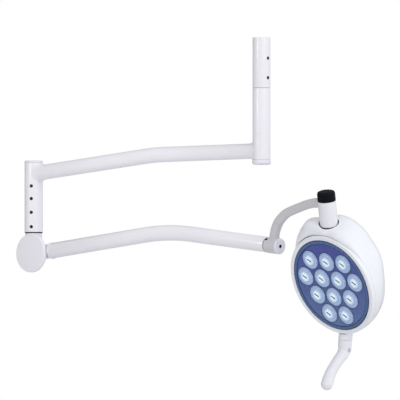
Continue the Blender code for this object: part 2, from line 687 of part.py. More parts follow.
def build_gasket(body):
    """A rubber ring round the neck whose top follows the slope of the hood."""
    top, bottom = 0.0885, 0.0785

    def sloped(radius, height):
        loop = []
        for i in range(SIDES):
            turn = 2 * math.pi * i / SIDES
            x, y = radius * math.cos(turn), radius * math.sin(turn)
            loop.append(Vector((x, y, height - SEAM_SLOPE[0] * x + SEAM_SLOPE[1] * y)))
        return loop

    inner_r, outer_r = NECK_R + RUN, NECK_HOLE_R - 0.0004
    rings = [sloped(outer_r, bottom), sloped(outer_r, top - 0.0010),
             sloped((inner_r + outer_r) / 2, top), sloped(inner_r, top - 0.0010),
             sloped(inner_r, bottom)]
    finish_mesh("neck_gasket", loft(rings, closed=True), NECK_AXIS, BLACK, body)


def lens_places():
    for height, steps in LENS_ROWS:
        for step in steps:
            yield Vector((step * LENS_PITCH, height, 0))


def build_lamp_face(body):
    turned("front_bezel",
           ((PANEL_R, 0.0375), (PANEL_R, 0.0462), (PANEL_R + 0.0010, HEAD_FRONT),
            (HEAD_R - 0.0050, HEAD_FRONT), (HEAD_R - 0.0010, HEAD_FRONT - 0.0040),
            (HEAD_R - GAP, SEAM_Z + GAP), (HEAD_R - 0.0050, SEAM_Z + GAP),
            (HEAD_R - 0.0050, 0.0375)), HEAD, WHITE, body, 40)
    panel = turned("lens_panel", rod_profile(PANEL_R - GAP - 0.0001, 0.0420, 0.0460), HEAD, BLUE,
                   body, 40)
    holes = bmesh.new()
    for place in lens_places():
        part = lathe(rod_profile(LENS_R + GAP, 0.03, 0.06), 16)
        part.transform(Matrix.Translation(place))
        scratch = bpy.data.meshes.new("scratch")
        part.to_mesh(scratch)
        part.free()
        holes.from_mesh(scratch)
        bpy.data.meshes.remove(scratch)
    boolean(panel, finish_mesh("cut_lenses", holes, HEAD, None))
    lens = ((0, 0.0335), (LENS_R, 0.0335), (LENS_R, 0.0457), (LENS_R * 0.7, 0.0473),
            (0, 0.0478))
    for i, place in enumerate(lens_places()):
        turned("lens_%02d" % (i + 1), lens, HEAD @ Matrix.Translation(place), LENS, body, 16)
    turned("led_board", rod_profile(0.1240, 0.0300, 0.0318), HEAD, BOARD, body, 32)
    build_heat_sink(body)


def build_heat_sink(body):
    """A disc with parallel fins behind the LED board."""
    radius, fins, base_z, front_z, back_z = 0.1200, 8, 0.0230, 0.0290, -0.0050
    pitch = 2 * radius / fins
    outline = []
    for i in range(fins):
        left = -radius + i * pitch
        outline += [(left + pitch * 0.43, base_z), (left + pitch * 0.43, back_z),
                    (left + pitch * 0.57, back_z), (left + pitch * 0.57, base_z)]
    outline = [(-radius - 0.01, base_z)] + outline + [(radius + 0.01, base_z)]
    outline += [(radius + 0.01, front_z), (-radius - 0.01, front_z)]
    rings = [[Vector((x, y, z)) for x, z in outline] for y in (-radius - 0.01, radius + 0.01)]
    sink = finish_mesh("heat_sink", loft(rings), HEAD, ALUMINIUM, body)
    boolean(sink, turned("keep_disc", rod_profile(radius, -0.02, 0.05), HEAD, None, None, 32),
            "INTERSECT")


def build_head_spindle(body):
    foot, shoulder, top = 0.0400, 0.0520, 0.1330
    turned("head_spindle",
           ((0, foot), (0.0220, foot), (0.0220, shoulder), (ELBOW_SPINDLE_R, shoulder),
            (ELBOW_SPINDLE_R, top - 0.0050), (0.0205, top - 0.0050), (0.0205, top), (0, top)),
           NECK_AXIS, STEEL, body, 20)


# ---------------------------------------------------------------- handle

def build_handle_socket(body):
    socket = turned("handle_socket",
                    ((0, -0.020), (SOCKET_R, -0.020), (SOCKET_R, SOCKET_LENGTH),
                     (SPIGOT_R, SOCKET_LENGTH), (SPIGOT_R, SOCKET_LENGTH + 0.018),
                     (0, SOCKET_LENGTH + 0.018)), HANDLE_AXIS, CAST_WHITE, body, 20)
    clear = turned("cut_rim", rod_profile(HEAD_R + 0.0006, -0.05, 0.10), HEAD, None, None, 80)
    boolean(socket, clear)
    stud = turned("join_stud", rod_profile(0.0080, 0.125, 0.158), STUD_AXIS, None, None, 12)
    boolean(socket, stud, "UNION")


def build_grip(body):
    """A sleeve over the spigot that bends forward into a rounded grip."""
    start = SOCKET_LENGTH + GAP
    points = []
    for distance, radius in GRIP_LINE:
        centre = HANDLE_ROOT + HANDLE_DIR * (start + distance)
        points.append((centre, radius))
    points += [(Vector((0, y, z)), radius) for y, z, radius in GRIP_BEND]
    points.append((GRIP_END, GRIP_END_R))
    line = [centre for centre, _ in points]
    directions = tangents(line)
    directions[0] = HANDLE_DIR
    rings = [ring(centre, tangent, radius, 20, (1, 0, 0))
             for (centre, radius), tangent in zip(points, directions)]
    for turn in (30, 60, 80):
        angle = math.radians(turn)
        rings.append(ring(GRIP_END + directions[-1] * GRIP_END_R * math.sin(angle),
                          directions[-1], GRIP_END_R * math.cos(angle), 20, (1, 0, 0)))
    grip = finish_mesh("handle_grip", loft(rings), HEAD, GRIP_WHITE, body)
    boolean(grip, turned("cut_spigot", rod_profile(SPIGOT_R + RUN, 0, SOCKET_LENGTH + 0.0195),
                         HANDLE_AXIS, None, None, 20))
    boolean(grip, turned("cut_button", rod_profile(BUTTON_R + GAP, 0.0100, 0.05), BUTTON_AXIS,
                         None, None, 16))


def build_button(body):
    turned("release_button",
           ((0, 0.0135), (BUTTON_R, 0.0135), (BUTTON_R, 0.0200), (BUTTON_R - 0.0018, 0.0212),
            (0, 0.0216)), BUTTON_AXIS, GREY, body, 16)


# ---------------------------------------------------------------- assembly

def build():
    clear_objects()
    upper_arm = pivot("ceiling_swivel", ABOUT_Z)
    bracket = pivot("elbow_swivel", Matrix.Translation((ELBOW_X, 0, POST_BOTTOM_Z)), upper_arm)
    lower_arm = pivot("knuckle_tilt", Matrix.Translation(KNUCKLE), bracket)
    plunger = pivot("plunger_slide", ARM_START, lower_arm)
    yoke = pivot("yoke_roll", ROLL_AXIS, lower_arm)
    head = pivot("head_swivel", NECK_AXIS, yoke)
    handle = pivot("handle_slide", HANDLE_AXIS, head)
    button = pivot("button_press", BUTTON_AXIS, handle)
    build_ceiling_tube()
    build_upper_arm(upper_arm)
    build_elbow_post(upper_arm)
    build_knuckle(bracket)
    build_lower_arm(lower_arm)
    build_plunger(plunger)
    build_yoke(yoke)
    build_rear_housing(head)
    build_gasket(head)
    build_lamp_face(head)
    build_head_spindle(head)
    build_handle_socket(head)
    build_grip(handle)
    build_button(button)


build()
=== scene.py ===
"""Looks of the ceiling surgical light: smooth pieces, materials, light and camera."""

import json
import math

import bmesh
import bpy
from mathutils import Matrix, Vector


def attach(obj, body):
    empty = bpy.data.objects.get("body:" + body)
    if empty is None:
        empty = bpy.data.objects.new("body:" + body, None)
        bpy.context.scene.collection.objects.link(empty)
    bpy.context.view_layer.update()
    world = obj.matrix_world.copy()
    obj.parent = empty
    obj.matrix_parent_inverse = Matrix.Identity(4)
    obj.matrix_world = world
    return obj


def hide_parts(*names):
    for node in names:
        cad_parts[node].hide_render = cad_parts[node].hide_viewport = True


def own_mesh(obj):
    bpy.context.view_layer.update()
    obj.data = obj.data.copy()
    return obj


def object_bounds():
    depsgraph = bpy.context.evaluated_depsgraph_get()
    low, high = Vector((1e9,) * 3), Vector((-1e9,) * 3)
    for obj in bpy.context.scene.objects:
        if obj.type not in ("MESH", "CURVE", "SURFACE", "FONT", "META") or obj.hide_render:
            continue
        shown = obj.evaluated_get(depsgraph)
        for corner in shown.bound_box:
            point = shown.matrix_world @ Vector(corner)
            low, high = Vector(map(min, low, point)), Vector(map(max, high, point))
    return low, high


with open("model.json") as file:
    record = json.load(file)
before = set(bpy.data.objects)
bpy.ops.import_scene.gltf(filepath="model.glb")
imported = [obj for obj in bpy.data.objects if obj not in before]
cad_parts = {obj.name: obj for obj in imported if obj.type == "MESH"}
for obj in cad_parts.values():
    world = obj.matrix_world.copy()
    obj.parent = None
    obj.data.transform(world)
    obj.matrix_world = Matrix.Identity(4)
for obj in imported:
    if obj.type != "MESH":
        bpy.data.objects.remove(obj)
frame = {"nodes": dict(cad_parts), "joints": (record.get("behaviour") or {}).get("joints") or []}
CAD_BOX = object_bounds()
NODES = frame["nodes"]
JOINTS = {joint["name"]: joint for joint in frame["joints"]}

GAP = 0.0003                     # between pieces that touch
ROUND = 96                       # facets round a visible tube
CAST_VOXEL = 0.0011              # grid on which the castings are run together
ARM_END = Vector(JOINTS["yoke_roll"]["pos_m"])
RUN = Vector(JOINTS["yoke_roll"]["axis"]).normalized()       # along the lower arm's end
NECK = Vector(JOINTS["head_swivel"]["axis"]).normalized()    # up the neck
KNUCKLE = Vector(JOINTS["knuckle_tilt"]["pos_m"])
ELBOW_X = JOINTS["elbow_swivel"]["pos_m"][0]


# ---------------------------------------------------------------- frames

def placed_on(origin, x_axis, y_axis, z_axis):
    made = Matrix((x_axis, y_axis, z_axis)).transposed().to_4x4()
    made.translation = origin
    return made


def along(origin, axis, towards=(0, 1, 0)):
    """A frame with its local Z along axis and its local Y near towards."""
    z_axis = Vector(axis).normalized()
    y_axis = Vector(towards)
    y_axis = (y_axis - y_axis.dot(z_axis) * z_axis).normalized()
    return placed_on(origin, y_axis.cross(z_axis), y_axis, z_axis)


WORLD = Matrix.Identity(4)
YOKE = placed_on(ARM_END, RUN, NECK, RUN.cross(NECK))
NECK_ALONG, HEAD_FRONT, FACE_TIP = 0.215, 0.047, math.radians(9.5)
FACE = Vector((NECK_ALONG, -0.0897, 0.0138))
HEAD = (YOKE @ Matrix.Translation(FACE) @ Matrix.Rotation(FACE_TIP, 4, "X")
        @ Matrix.Translation((0, 0, -HEAD_FRONT)))
NECK_AXIS = YOKE @ Matrix.Translation((NECK_ALONG, 0, 0)) @ Matrix.Rotation(-math.pi / 2, 4, "X")
ROLL_AXIS = YOKE @ Matrix.Rotation(math.pi / 2, 4, "Y")
ACROSS = along(KNUCKLE, (0, 1, 0), (0, 0, 1))
AT_POST = Matrix.Translation((ELBOW_X, 0, 0))
LOWER_BEND = Vector((-0.354, 0, -0.537))
ARM_RISE = (LOWER_BEND - KNUCKLE).normalized()
ARM_START = along(KNUCKLE, ARM_RISE)


# ---------------------------------------------------------------- materials

def principled(name, colour, roughness, metallic=0.0, coat=0.0):
    made = bpy.data.materials.new(name)
    made.use_nodes = True
    shader = made.node_tree.nodes["Principled BSDF"]
    shader.inputs["Base Color"].default_value = (*colour, 1)
    shader.inputs["Roughness"].default_value = roughness
    shader.inputs["Metallic"].default_value = metallic
    shader.inputs["Coat Weight"].default_value = coat
    shader.inputs["Coat Roughness"].default_value = 0.12
    return made


def node(material, kind, **settings):
    made = material.node_tree.nodes.new(kind)
    for key, value in settings.items():
        if key in made.inputs:
            made.inputs[key].default_value = value
        else:
            setattr(made, key, value)
    return made


def link(material, source, target):
    material.node_tree.links.new(source, target)


def shader_of(material):
    return material.node_tree.nodes["Principled BSDF"]


def object_point(material, stretch=(1, 1, 1)):
    coords = node(material, "ShaderNodeTexCoord")
    mapping = node(material, "ShaderNodeMapping")
    mapping.inputs["Scale"].default_value = stretch
    link(material, coords.outputs["Object"], mapping.inputs["Vector"])
    return mapping.outputs["Vector"]


def noise(material, scale, detail=3.0, stretch=(1, 1, 1)):
    made = node(material, "ShaderNodeTexNoise", Scale=scale, Detail=detail)
    link(material, object_point(material, stretch), made.inputs["Vector"])
    return made.outputs["Fac"]


def ramp(material, value, stops):
    made = node(material, "ShaderNodeValToRGB")
    elements = made.color_ramp.elements
    while len(elements) > len(stops):
        elements.remove(elements[-1])
    while len(elements) < len(stops):
        elements.new(0.5)
    for element, (place, colour) in zip(elements, stops):
        element.position = place
        element.color = (*colour, 1) if isinstance(colour, tuple) else (colour,) * 3 + (1,)
    link(material, value, made.inputs["Fac"])
    return made.outputs["Color"]


def vary(material, colour, amount, scale):
    """Slow, faint change of colour over the surface."""
    low = tuple(c * (1 - amount) for c in colour)
    high = tuple(min(1.0, c * (1 + amount)) for c in colour)
    out = ramp(material, noise(material, scale), ((0.3, low), (0.7, high)))
    link(material, out, shader_of(material).inputs["Base Color"])


def vary_roughness(material, low, high, scale):
    out = ramp(material, noise(material, scale, 4.0), ((0.3, low), (0.7, high)))
    link(material, out, shader_of(material).inputs["Roughness"])


def bump(material, heights, distance, strength):
    made = node(material, "ShaderNodeBump", Distance=distance, Strength=strength)
    link(material, heights, made.inputs["Height"])
    link(material, made.outputs["Normal"], shader_of(material).inputs["Normal"])


def paint(name, colour, roughness, coat=0.25):
    """Powder coat: fine orange peel, faint change of colour and gloss."""
    made = principled(name, colour, roughness, coat=coat)
    vary(made, colour, 0.012, 9.0)
    vary_roughness(made, roughness - 0.06, roughness + 0.08, 35.0)
    bump(made, noise(made, 520.0, 2.0), 0.0004, 0.06)
    return made


def moulded(name, colour, roughness, grain=900.0, depth=0.12, coat=0.0, mottle=0.03):
    """Moulded plastic or rubber with a fine spark-eroded grain."""
    made = principled(name, colour, roughness, coat=coat)
    vary(made, colour, mottle, 14.0)
    vary_roughness(made, roughness - mottle, roughness + 2 * mottle, 60.0)
    bump(made, noise(made, grain, 2.0), 0.0003, depth)
    return made


def turned_metal(name, colour, roughness):
    """Metal off a lathe: fine rings and a little change of tint."""
    made = principled(name, colour, roughness, metallic=1.0)
    vary(made, colour, 0.08, 40.0)
    vary_roughness(made, roughness - 0.08, roughness + 0.12, 90.0)
    bump(made, noise(made, 300.0, 2.0, (1, 1, 12)), 0.0002, 0.15)
    return made


WHITE = paint("white_paint", (0.86, 0.85, 0.875), 0.33)
CAST = paint("white_casting", (0.80, 0.80, 0.85), 0.38)
GREY = paint("grey_casting", (0.615, 0.615, 0.62), 0.42, 0.15)
SHELL = moulded("white_shell", (0.90, 0.915, 0.94), 0.28, 700.0, 0.02, 0.4, 0.008)
HANDLE = moulded("handle_white", (0.88, 0.87, 0.90), 0.42, 900.0, 0.05, 0.0, 0.012)
BLACK = moulded("black_plastic", (0.0020, 0.0025, 0.0060), 0.55, 900.0, 0.20)
shader_of(BLACK).inputs["Specular IOR Level"].default_value = 0.12
SEAL = moulded("rubber_seal", (0.008, 0.008, 0.010), 0.70, 1200.0, 0.35)
STEEL = turned_metal("bare_steel", (0.56, 0.57, 0.59), 0.30)
DARK = turned_metal("dark_steel", (0.035, 0.035, 0.042), 0.38)
BRONZE = turned_metal("bronze_bush", (0.55, 0.36, 0.17), 0.42)
NYLON = moulded("nylon_sleeve", (0.78, 0.77, 0.71), 0.50)
BUTTON = moulded("button_grey", (0.56, 0.60, 0.66), 0.45)

# Nothing in these depends on the piece's own axes, so their pieces are kept in world axes.
PLAIN = (WHITE, CAST, GREY, SHELL, HANDLE, BLACK, SEAL, BUTTON)


def board_material():
    """White solder mask with a grid of pale copper tracks under it."""
    made = principled("board_white", (0.74, 0.75, 0.73), 0.45)
    brick = node(made, "ShaderNodeTexBrick", Scale=90.0)
    brick.inputs["Color1"].default_value = (0.74, 0.75, 0.73, 1)
    brick.inputs["Color2"].default_value = (0.68, 0.70, 0.69, 1)
    brick.inputs["Mortar"].default_value = (0.55, 0.57, 0.55, 1)
    link(made, object_point(made), brick.inputs["Vector"])
    link(made, brick.outputs["Color"], shader_of(made).inputs["Base Color"])
    return made


def sink_material():
    """Extruded aluminium with drawing lines along the fins."""
    made = principled("sink_alloy", (0.60, 0.61, 0.63), 0.38, metallic=1.0)
    vary(made, (0.60, 0.61, 0.63), 0.06, 30.0)
    bump(made, noise(made, 420.0, 2.0, (1, 0.03, 1)), 0.0002, 0.25)
    return made


def panel_material(name, stops, coat=0.3):
    """Blue moulding under a thin gloss, with painted light and shade: stops run from the foot of
    the face to its top, lighter at the foot and darker at the top.
    """
    made = principled(name, stops[1], 0.26, coat=coat)
    split = node(made, "ShaderNodeSeparateXYZ")
    link(made, object_point(made), split.inputs["Vector"])
    # painted light and shade: height on the face picks the ramp's lighter foot colour or its
    # darker top colour
    height = node(made, "ShaderNodeMapRange")
    height.inputs["From Min"].default_value = -FACE_SPAN
    height.inputs["From Max"].default_value = FACE_SPAN
    link(made, split.outputs["Y"], height.inputs["Value"])
    wander = node(made, "ShaderNodeMix", data_type="FLOAT")
    wander.inputs["Factor"].default_value = 0.30
    link(made, height.outputs["Result"], wander.inputs["A"])
    link(made, noise(made, 26.0, 2.0), wander.inputs["B"])
    out = ramp(made, wander.outputs["Result"], tuple(zip((0.15, 0.50, 0.85), stops)))
    link(made, out, shader_of(made).inputs["Base Color"])
    vary_roughness(made, 0.20, 0.34, 50.0)
    bump(made, noise(made, 240.0, 2.0), 0.0003, 0.10)
    return made


def lens_material():
    """Ice-blue moulded lens with painted light: a painted white highlight and a painted glow in
    the middle, painted light and dark reflections on the stepped rings, painted shade at the
    fluted rim, and painted sparkle over its facets.
    """
    made = principled("lens_clear", (0.45, 0.58, 0.78), 0.12, coat=0.4)
    point = object_point(made)
    split = node(made, "ShaderNodeSeparateXYZ")
    link(made, point, split.inputs["Vector"])
    flat = node(made, "ShaderNodeCombineXYZ")
    link(made, split.outputs["X"], flat.inputs["X"])
    link(made, split.outputs["Y"], flat.inputs["Y"])
    length = node(made, "ShaderNodeVectorMath", operation="LENGTH")
    link(made, flat.outputs["Vector"], length.inputs[0])
    scaled = node(made, "ShaderNodeMath", operation="DIVIDE")
    scaled.inputs[1].default_value = LENS_R
    link(made, length.outputs["Value"], scaled.inputs[0])
    # painted highlight and reflections: near-white in the middle, lighter and darker bands over
    # the stepped rings, painted shade at the rim
    painted_light_rings = ramp(made, scaled.outputs["Value"],
                  ((0.10, (0.80, 0.90, 0.98)), (0.36, (0.74, 0.86, 0.98)),
                   (0.56, (0.50, 0.65, 0.90)), (0.70, (0.42, 0.56, 0.84)),
                   (0.80, (0.54, 0.70, 0.94)), (0.88, (0.42, 0.58, 0.86)),
                   (0.96, (0.50, 0.66, 0.92)), (1.0, (0.40, 0.55, 0.86))))
    # painted glow: the lens shines from its middle though its LED is not lit
    painted_glow = ramp(made, scaled.outputs["Value"],
                ((0.05, (0.80, 0.94, 1.0)), (0.30, (0.74, 0.90, 1.0)), (0.58, (0.16, 0.24, 0.40)),
                 (0.78, (0.12, 0.18, 0.28)), (0.92, (0.05, 0.08, 0.14)), (1.0, 0.0)))
    link(made, painted_glow, shader_of(made).inputs["Emission Color"])
    shader_of(made).inputs["Emission Strength"].default_value = 0.42
    facets = node(made, "ShaderNodeTexVoronoi", Scale=230.0)
    link(made, point, facets.inputs["Vector"])
    # painted sparkle: the facets' pattern lightens and darkens the lens colour as glints
    spark = ramp(made, facets.outputs["Distance"], ((0.10, 1.0), (0.62, 0.40)))
    mixed = node(made, "ShaderNodeMix", data_type="RGBA", blend_type="MULTIPLY")
    mixed.inputs["Factor"].default_value = 0.55
    link(made, painted_light_rings, mixed.inputs["A"])
    link(made, spark, mixed.inputs["B"])
    link(made, mixed.outputs["Result"], shader_of(made).inputs["Base Color"])
    bump(made, facets.outputs["Distance"], 0.0010, 0.35)
    return made


# ---------------------------------------------------------------- meshes


def finish(name, bm, placed, body, material, nodes=(), sharp=35):
    """Makes the object, shades it, ties it to its body and hides the nodes it replaces."""
    bmesh.ops.recalc_face_normals(bm, faces=bm.faces)
    mesh = bpy.data.meshes.new(name)
    if material in PLAIN:
        bm.transform(placed)
        placed = WORLD
    bm.to_mesh(mesh)
    bm.free()
    made = bpy.data.objects.new(name, mesh)
    bpy.context.scene.collection.objects.link(made)
    made.matrix_world = placed
    if body:
        mesh.materials.append(material)
        shade(made, sharp)
        bpy.context.view_layer.update()
        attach(made, body)
        if nodes:
            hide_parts(*nodes)
    return made


def shade(made, sharp=35):
    made.data.shade_smooth()
    made.data.set_sharp_from_angle(angle=math.radians(sharp))


def fillet(profile, radius, steps=4):
    """Rounds the corners of a (radius, height) profile; ends on the axis stay."""
    points = [Vector(p) for p in profile]
    open_line = abs(points[0].x) < 1e-9 and abs(points[-1].x) < 1e-9
    count = len(points)
    out = []
    for i, point in enumerate(points):
        if open_line and i in (0, count - 1):
            out.append(tuple(point))
            continue
        before, after = points[i - 1], points[(i + 1) % count]
        to_before, to_after = before - point, after - point
        turn = to_before.angle(to_after, math.pi)
        if turn > math.radians(170):
            out.append(tuple(point))
            continue
        reach = min(radius, 0.45 * to_before.length, 0.45 * to_after.length)
        start = point + to_before.normalized() * reach
        end = point + to_after.normalized() * reach
        for k in range(steps + 1):
            t = k / steps
            out.append(tuple(start * (1 - t) ** 2 + point * 2 * t * (1 - t) + end * t * t))
    return out


def lathe(profile, sides=ROUND):
    bm = bmesh.new()
    closed = profile[0][0] > 1e-9
    rows = []
    for radius, height in profile:
        if radius < 1e-9:
            rows.append([bm.verts.new((0, 0, height))])
        else:
            rows.append([bm.verts.new((radius * math.cos(2 * math.pi * i / sides),
                                       radius * math.sin(2 * math.pi * i / sides), height))
                         for i in range(sides)])
    pairs = list(zip(rows, rows[1:])) + ([(rows[-1], rows[0])] if closed else [])
    for one, two in pairs:
        for i in range(sides):
            k = (i + 1) % sides
            corners = [one[i % len(one)], one[k % len(one)], two[k % len(two)], two[i % len(two)]]
            kept = [v for j, v in enumerate(corners) if v not in corners[:j]]
            if len(kept) > 2:
                bm.faces.new(kept)
    return bm


def turned(name, profile, placed, body, material, nodes=(), radius=0.0007, sides=ROUND):
    return finish(name, lathe(fillet(profile, radius), sides), placed, body, material, nodes)


def tube(outer, inner, low, high):
    return ((outer, low), (outer, high), (inner, high), (inner, low))


def rod(radius, low, high):
    return ((0, low), (radius, low), (radius, high), (0, high))


def cutter(profile, placed, sides=48):
    return finish("cutter", lathe(profile, sides), placed, None, None)


def apply_modifiers(made):
    view = bpy.context.evaluated_depsgraph_get()
    view.update()
    new = bpy.data.meshes.new_from_object(made.evaluated_get(view))
    made.modifiers.clear()
    made.data = new


def combine(made, tools, operation="DIFFERENCE", sharp=35):
    """Booleans the tools into a piece for good."""
    for tool in tools:
        step = made.modifiers.new("step", "BOOLEAN")
        step.operation = operation
        step.solver = "EXACT"
        step.object = tool
    apply_modifiers(made)
    for tool in tools:
        bpy.data.objects.remove(tool)
    shade(made, sharp)


def soften(made, voxel, rounds):
    """Runs a union of plain solids together, as a casting's fillets do."""
    step = made.modifiers.new("remesh", "REMESH")
    step.mode = "VOXEL"
    step.voxel_size = voxel
    smooth = made.modifiers.new("smooth", "SMOOTH")
    smooth.factor = 0.5
    smooth.iterations = rounds
    apply_modifiers(made)


def ring_points(centre, tangent, wide, high, sides, side=(0, 1, 0)):
    """An ellipse round a path: wide along side, high across it."""
    placed = along(centre, tangent, side)
    turn = 2 * math.pi / sides
    return [placed @ Vector((high * math.cos(i * turn), wide * math.sin(i * turn), 0))
            for i in range(sides)]


def skin(rings, loop=False):
    """Joins rings of points into a tube, closed by caps or back onto its first ring."""
    bm = bmesh.new()
    rows = [[bm.verts.new(p) for p in ring] for ring in rings]
    pairs = list(zip(rows, rows[1:])) + ([(rows[-1], rows[0])] if loop else [])
    count = len(rows[0])
    for one, two in pairs:
        for i in range(count):
            k = (i + 1) % count
            bm.faces.new((one[i], one[k], two[k], two[i]))
    if not loop:
        bm.faces.new(rows[0])
        bm.faces.new(rows[-1])
    return bm


def spline(points, steps):
    """A smooth curve through points of any size (Catmull-Rom)."""
    points = [Vector(p) for p in points]
    ends = [2 * points[0] - points[1]] + points + [2 * points[-1] - points[-2]]
    line = []
    for i in range(len(points) - 1):
        a, b, c, d = ends[i:i + 4]
        for k in range(steps):
            t = k / steps
            line.append(0.5 * (2 * b + (c - a) * t + (2 * a - 5 * b + 4 * c - d) * t * t
                               + (3 * b - a - 3 * c + d) * t ** 3))
    return line + [points[-1]]


def tangents(line):
    ends = [line[0]] + list(line) + [line[-1]]
    return [(ends[i + 2] - ends[i]).normalized() for i in range(len(line))]


def bent_line(start, corner, end, radius=0.8, steps=28):
    """Two straight runs joined by a round bend; gives (point, tangent) pairs."""
    before, after = (corner - start).normalized(), (end - corner).normalized()
    sweep = before.angle(after)
    reach = radius * math.tan(sweep / 2)
    inward = (after - before).normalized()
    centre = corner + inward * math.hypot(reach, radius)
    first = corner - before * reach - centre
    axis = before.cross(after).normalized()
    path = [(start, before)]
    for i in range(steps + 1):
        turn = Matrix.Rotation(sweep * i / steps, 3, axis)
        path.append((centre + turn @ first, turn @ before))
    return path + [(end, after)]


def socket_screw(name, node_name, seat, axis, length, radius, body):
    """A set screw with a six-sided socket in its outer end."""
    towards = (0, 0, 1) if abs(Vector(axis).normalized().z) < 0.9 else (1, 0, 0)
    placed = along(seat, axis, towards)
    edge, sides = radius * 0.18, 24

    def circle(r, z):
        return [Vector((r * math.cos(2 * math.pi * i / sides),
                        r * math.sin(2 * math.pi * i / sides), z)) for i in range(sides)]

    def hexagon(r, z):
        out = []
        for i in range(sides):
            turn = 2 * math.pi * i / sides
            flat = r * math.cos(math.pi / 6) / math.cos((turn % (math.pi / 3)) - math.pi / 6)
            out.append(Vector((flat * math.cos(turn), flat * math.sin(turn), z)))
        return out

    rings = [circle(radius, 0), circle(radius, length - edge), circle(radius - edge, length),
             hexagon(radius * 0.62, length), hexagon(radius * 0.58, length - 0.0003),
             hexagon(radius * 0.58, length * 0.5)]
    return finish(name, skin(rings), placed, body, DARK, (node_name,))


# ---------------------------------------------------------------- ceiling tube and sleeve

TUBE_R, DROP_BORE_R, SLEEVE_BORE_R = 0.025, 0.022, 0.021
SEAM, SLEEVE_TOP, SLEEVE_LOW = -0.142, -0.1428, -0.344       # heights on the ceiling axis
CAP_R, CAP_PLUG_R, CAP_LOW = 0.026, 0.0207, -0.358
SCREW_R, SCREW_HOLE_R = 0.0045, 0.0049
TUBE_LIP = 0.0009                                            # rounding of a tube's ends


def set_screw_hole(seat, axis):
    return cutter(rod(SCREW_HOLE_R, -0.006, 0.012), along(seat, axis, (0, 0, 1)))


def build_drop():
    drop = turned("drop_tube", tube(TUBE_R, DROP_BORE_R, SEAM, 0), WORLD, "ceiling_drop", WHITE,
                  ("ceiling_tube",), TUBE_LIP)
    holes = []
    for name, height in (("ceiling_screw_upper", -0.059), ("ceiling_screw_lower", -0.114)):
        seat = Vector((DROP_BORE_R + 0.0001, 0, height))
        holes.append(set_screw_hole(seat, (1, 0, 0)))
        socket_screw(name + "_head", name, seat, (1, 0, 0), 0.0032, SCREW_R, "ceiling_drop")
    combine(drop, holes)

    turned("arm_sleeve", tube(TUBE_R, SLEEVE_BORE_R, SLEEVE_LOW, SLEEVE_TOP), WORLD, "upper_arm",
           WHITE, ("upper_sleeve",), TUBE_LIP)
    groove, cap_top = CAP_LOW + 0.0008, SLEEVE_LOW - GAP
    turned("sleeve_cap",
           ((0, CAP_LOW), (0.0150, CAP_LOW), (0.0150, groove), (0.0175, groove),
            (0.0175, CAP_LOW), (0.0235, CAP_LOW), (CAP_R, CAP_LOW + 0.003), (CAP_R, cap_top),
            (CAP_PLUG_R, cap_top), (CAP_PLUG_R, cap_top + 0.008), (0, cap_top + 0.008)),
           WORLD, "upper_arm", CAST, ("sleeve_end_cap",), 0.0012)


POST_R, POST_BORE_R, POST_LOW, POST_TOP = 0.026, 0.0215, -0.529, -0.3315
BRAKE_HEIGHTS = (-0.398, -0.434, -0.473, -0.514)
BRAKE_AXIS = Vector((0.45, -0.893, 0)).normalized()


def build_upper_arm():
    """The upper arm: a bent tube that flares into the sleeve and the post it is welded to."""
    start, corner = Vector((0, 0, -0.319)), Vector((-0.405, 0, -0.3204))
    end = Vector((ELBOW_X, 0, -0.3626))
    path = bent_line(start, corner, end)
    radius, flare_length, flare_high, flare_wide = 0.0215, 0.024, 0.0066, 0.0022
    first, last = path[0], path[-1]

    def flare_rings(base, inwards, post_r):
        """Rings from the post's wall out to the plain tube."""
        rings = []
        for k in range(9):
            t = k / 8
            grow = (1 - t) ** 2.4
            high, wide = radius + flare_high * grow, radius + flare_wide * grow
            centre = base[0] + inwards * 0.05
            out = []
            for p in ring_points(centre, base[1], wide, high, ROUND):
                depth = math.sqrt(max(post_r ** 2 - min(p.y ** 2, post_r ** 2), 0))
                reach = max(depth, post_r * 0.18) + flare_length * t - 0.0008 * (1 - t)
                slope = inwards.z / abs(inwards.x)
                x = base[0].x + math.copysign(reach, inwards.x)
                out.append(Vector((x, p.y, p.z - (centre.z - base[0].z) + slope * reach)))
            rings.append(out)
        return rings

    near = flare_rings(first, first[1], TUBE_R)
    far = flare_rings(last, -last[1], POST_R)
    middle = [ring_points(p, t, radius, radius, ROUND) for p, t in path[1:-1]]
    finish("upper_tube", skin(near + middle + far[::-1]), WORLD, "upper_arm", WHITE,
           ("upper_arm_tube",))


def build_post():
    post = turned("post_tube", tube(POST_R, POST_BORE_R, POST_LOW, POST_TOP), AT_POST,
                  "upper_arm", WHITE, ("elbow_post",), TUBE_LIP)
    holes = []
    for i, height in enumerate(BRAKE_HEIGHTS):
        seat = Vector((ELBOW_X, 0, height)) + BRAKE_AXIS * (POST_BORE_R + 0.0001)
        holes.append(set_screw_hole(seat, BRAKE_AXIS))
        socket_screw("brake_head_%d" % (i + 1), "brake_screw_%d" % (i + 1), seat, BRAKE_AXIS,
                     0.0036, SCREW_R, "upper_arm")
    combine(post, holes)
    low, top, plug = POST_TOP + GAP, -0.325, POST_BORE_R - GAP
    turned("post_cap",
           ((0, low - 0.005), (plug, low - 0.005), (plug, low), (POST_R, low),
            (POST_R, top - 0.0012), (0.0245, top), (0.0195, top), (0.0190, top - 0.0006),
            (0, top - 0.0006)), AT_POST, "upper_arm", CAST, ("elbow_post_cap",), 0.0009)


# ---------------------------------------------------------------- knuckle and lower arm

FORK_NECK_R, FORK_TOP, CHEEK_OUT, CHEEK_IN = 0.024, -0.5314, 0.024, 0.0147
FORK_SLOT, EYE_R, EYE_HALF, SPINDLE_HOLE_R = 0.0286, 0.0255, 0.0135, 0.0153
PIN_R, PIN_HEAD, HUB_R, HUB_WALL, HUB_FACE = 0.010, 0.0243, 0.0550, 0.0050, 0.0300


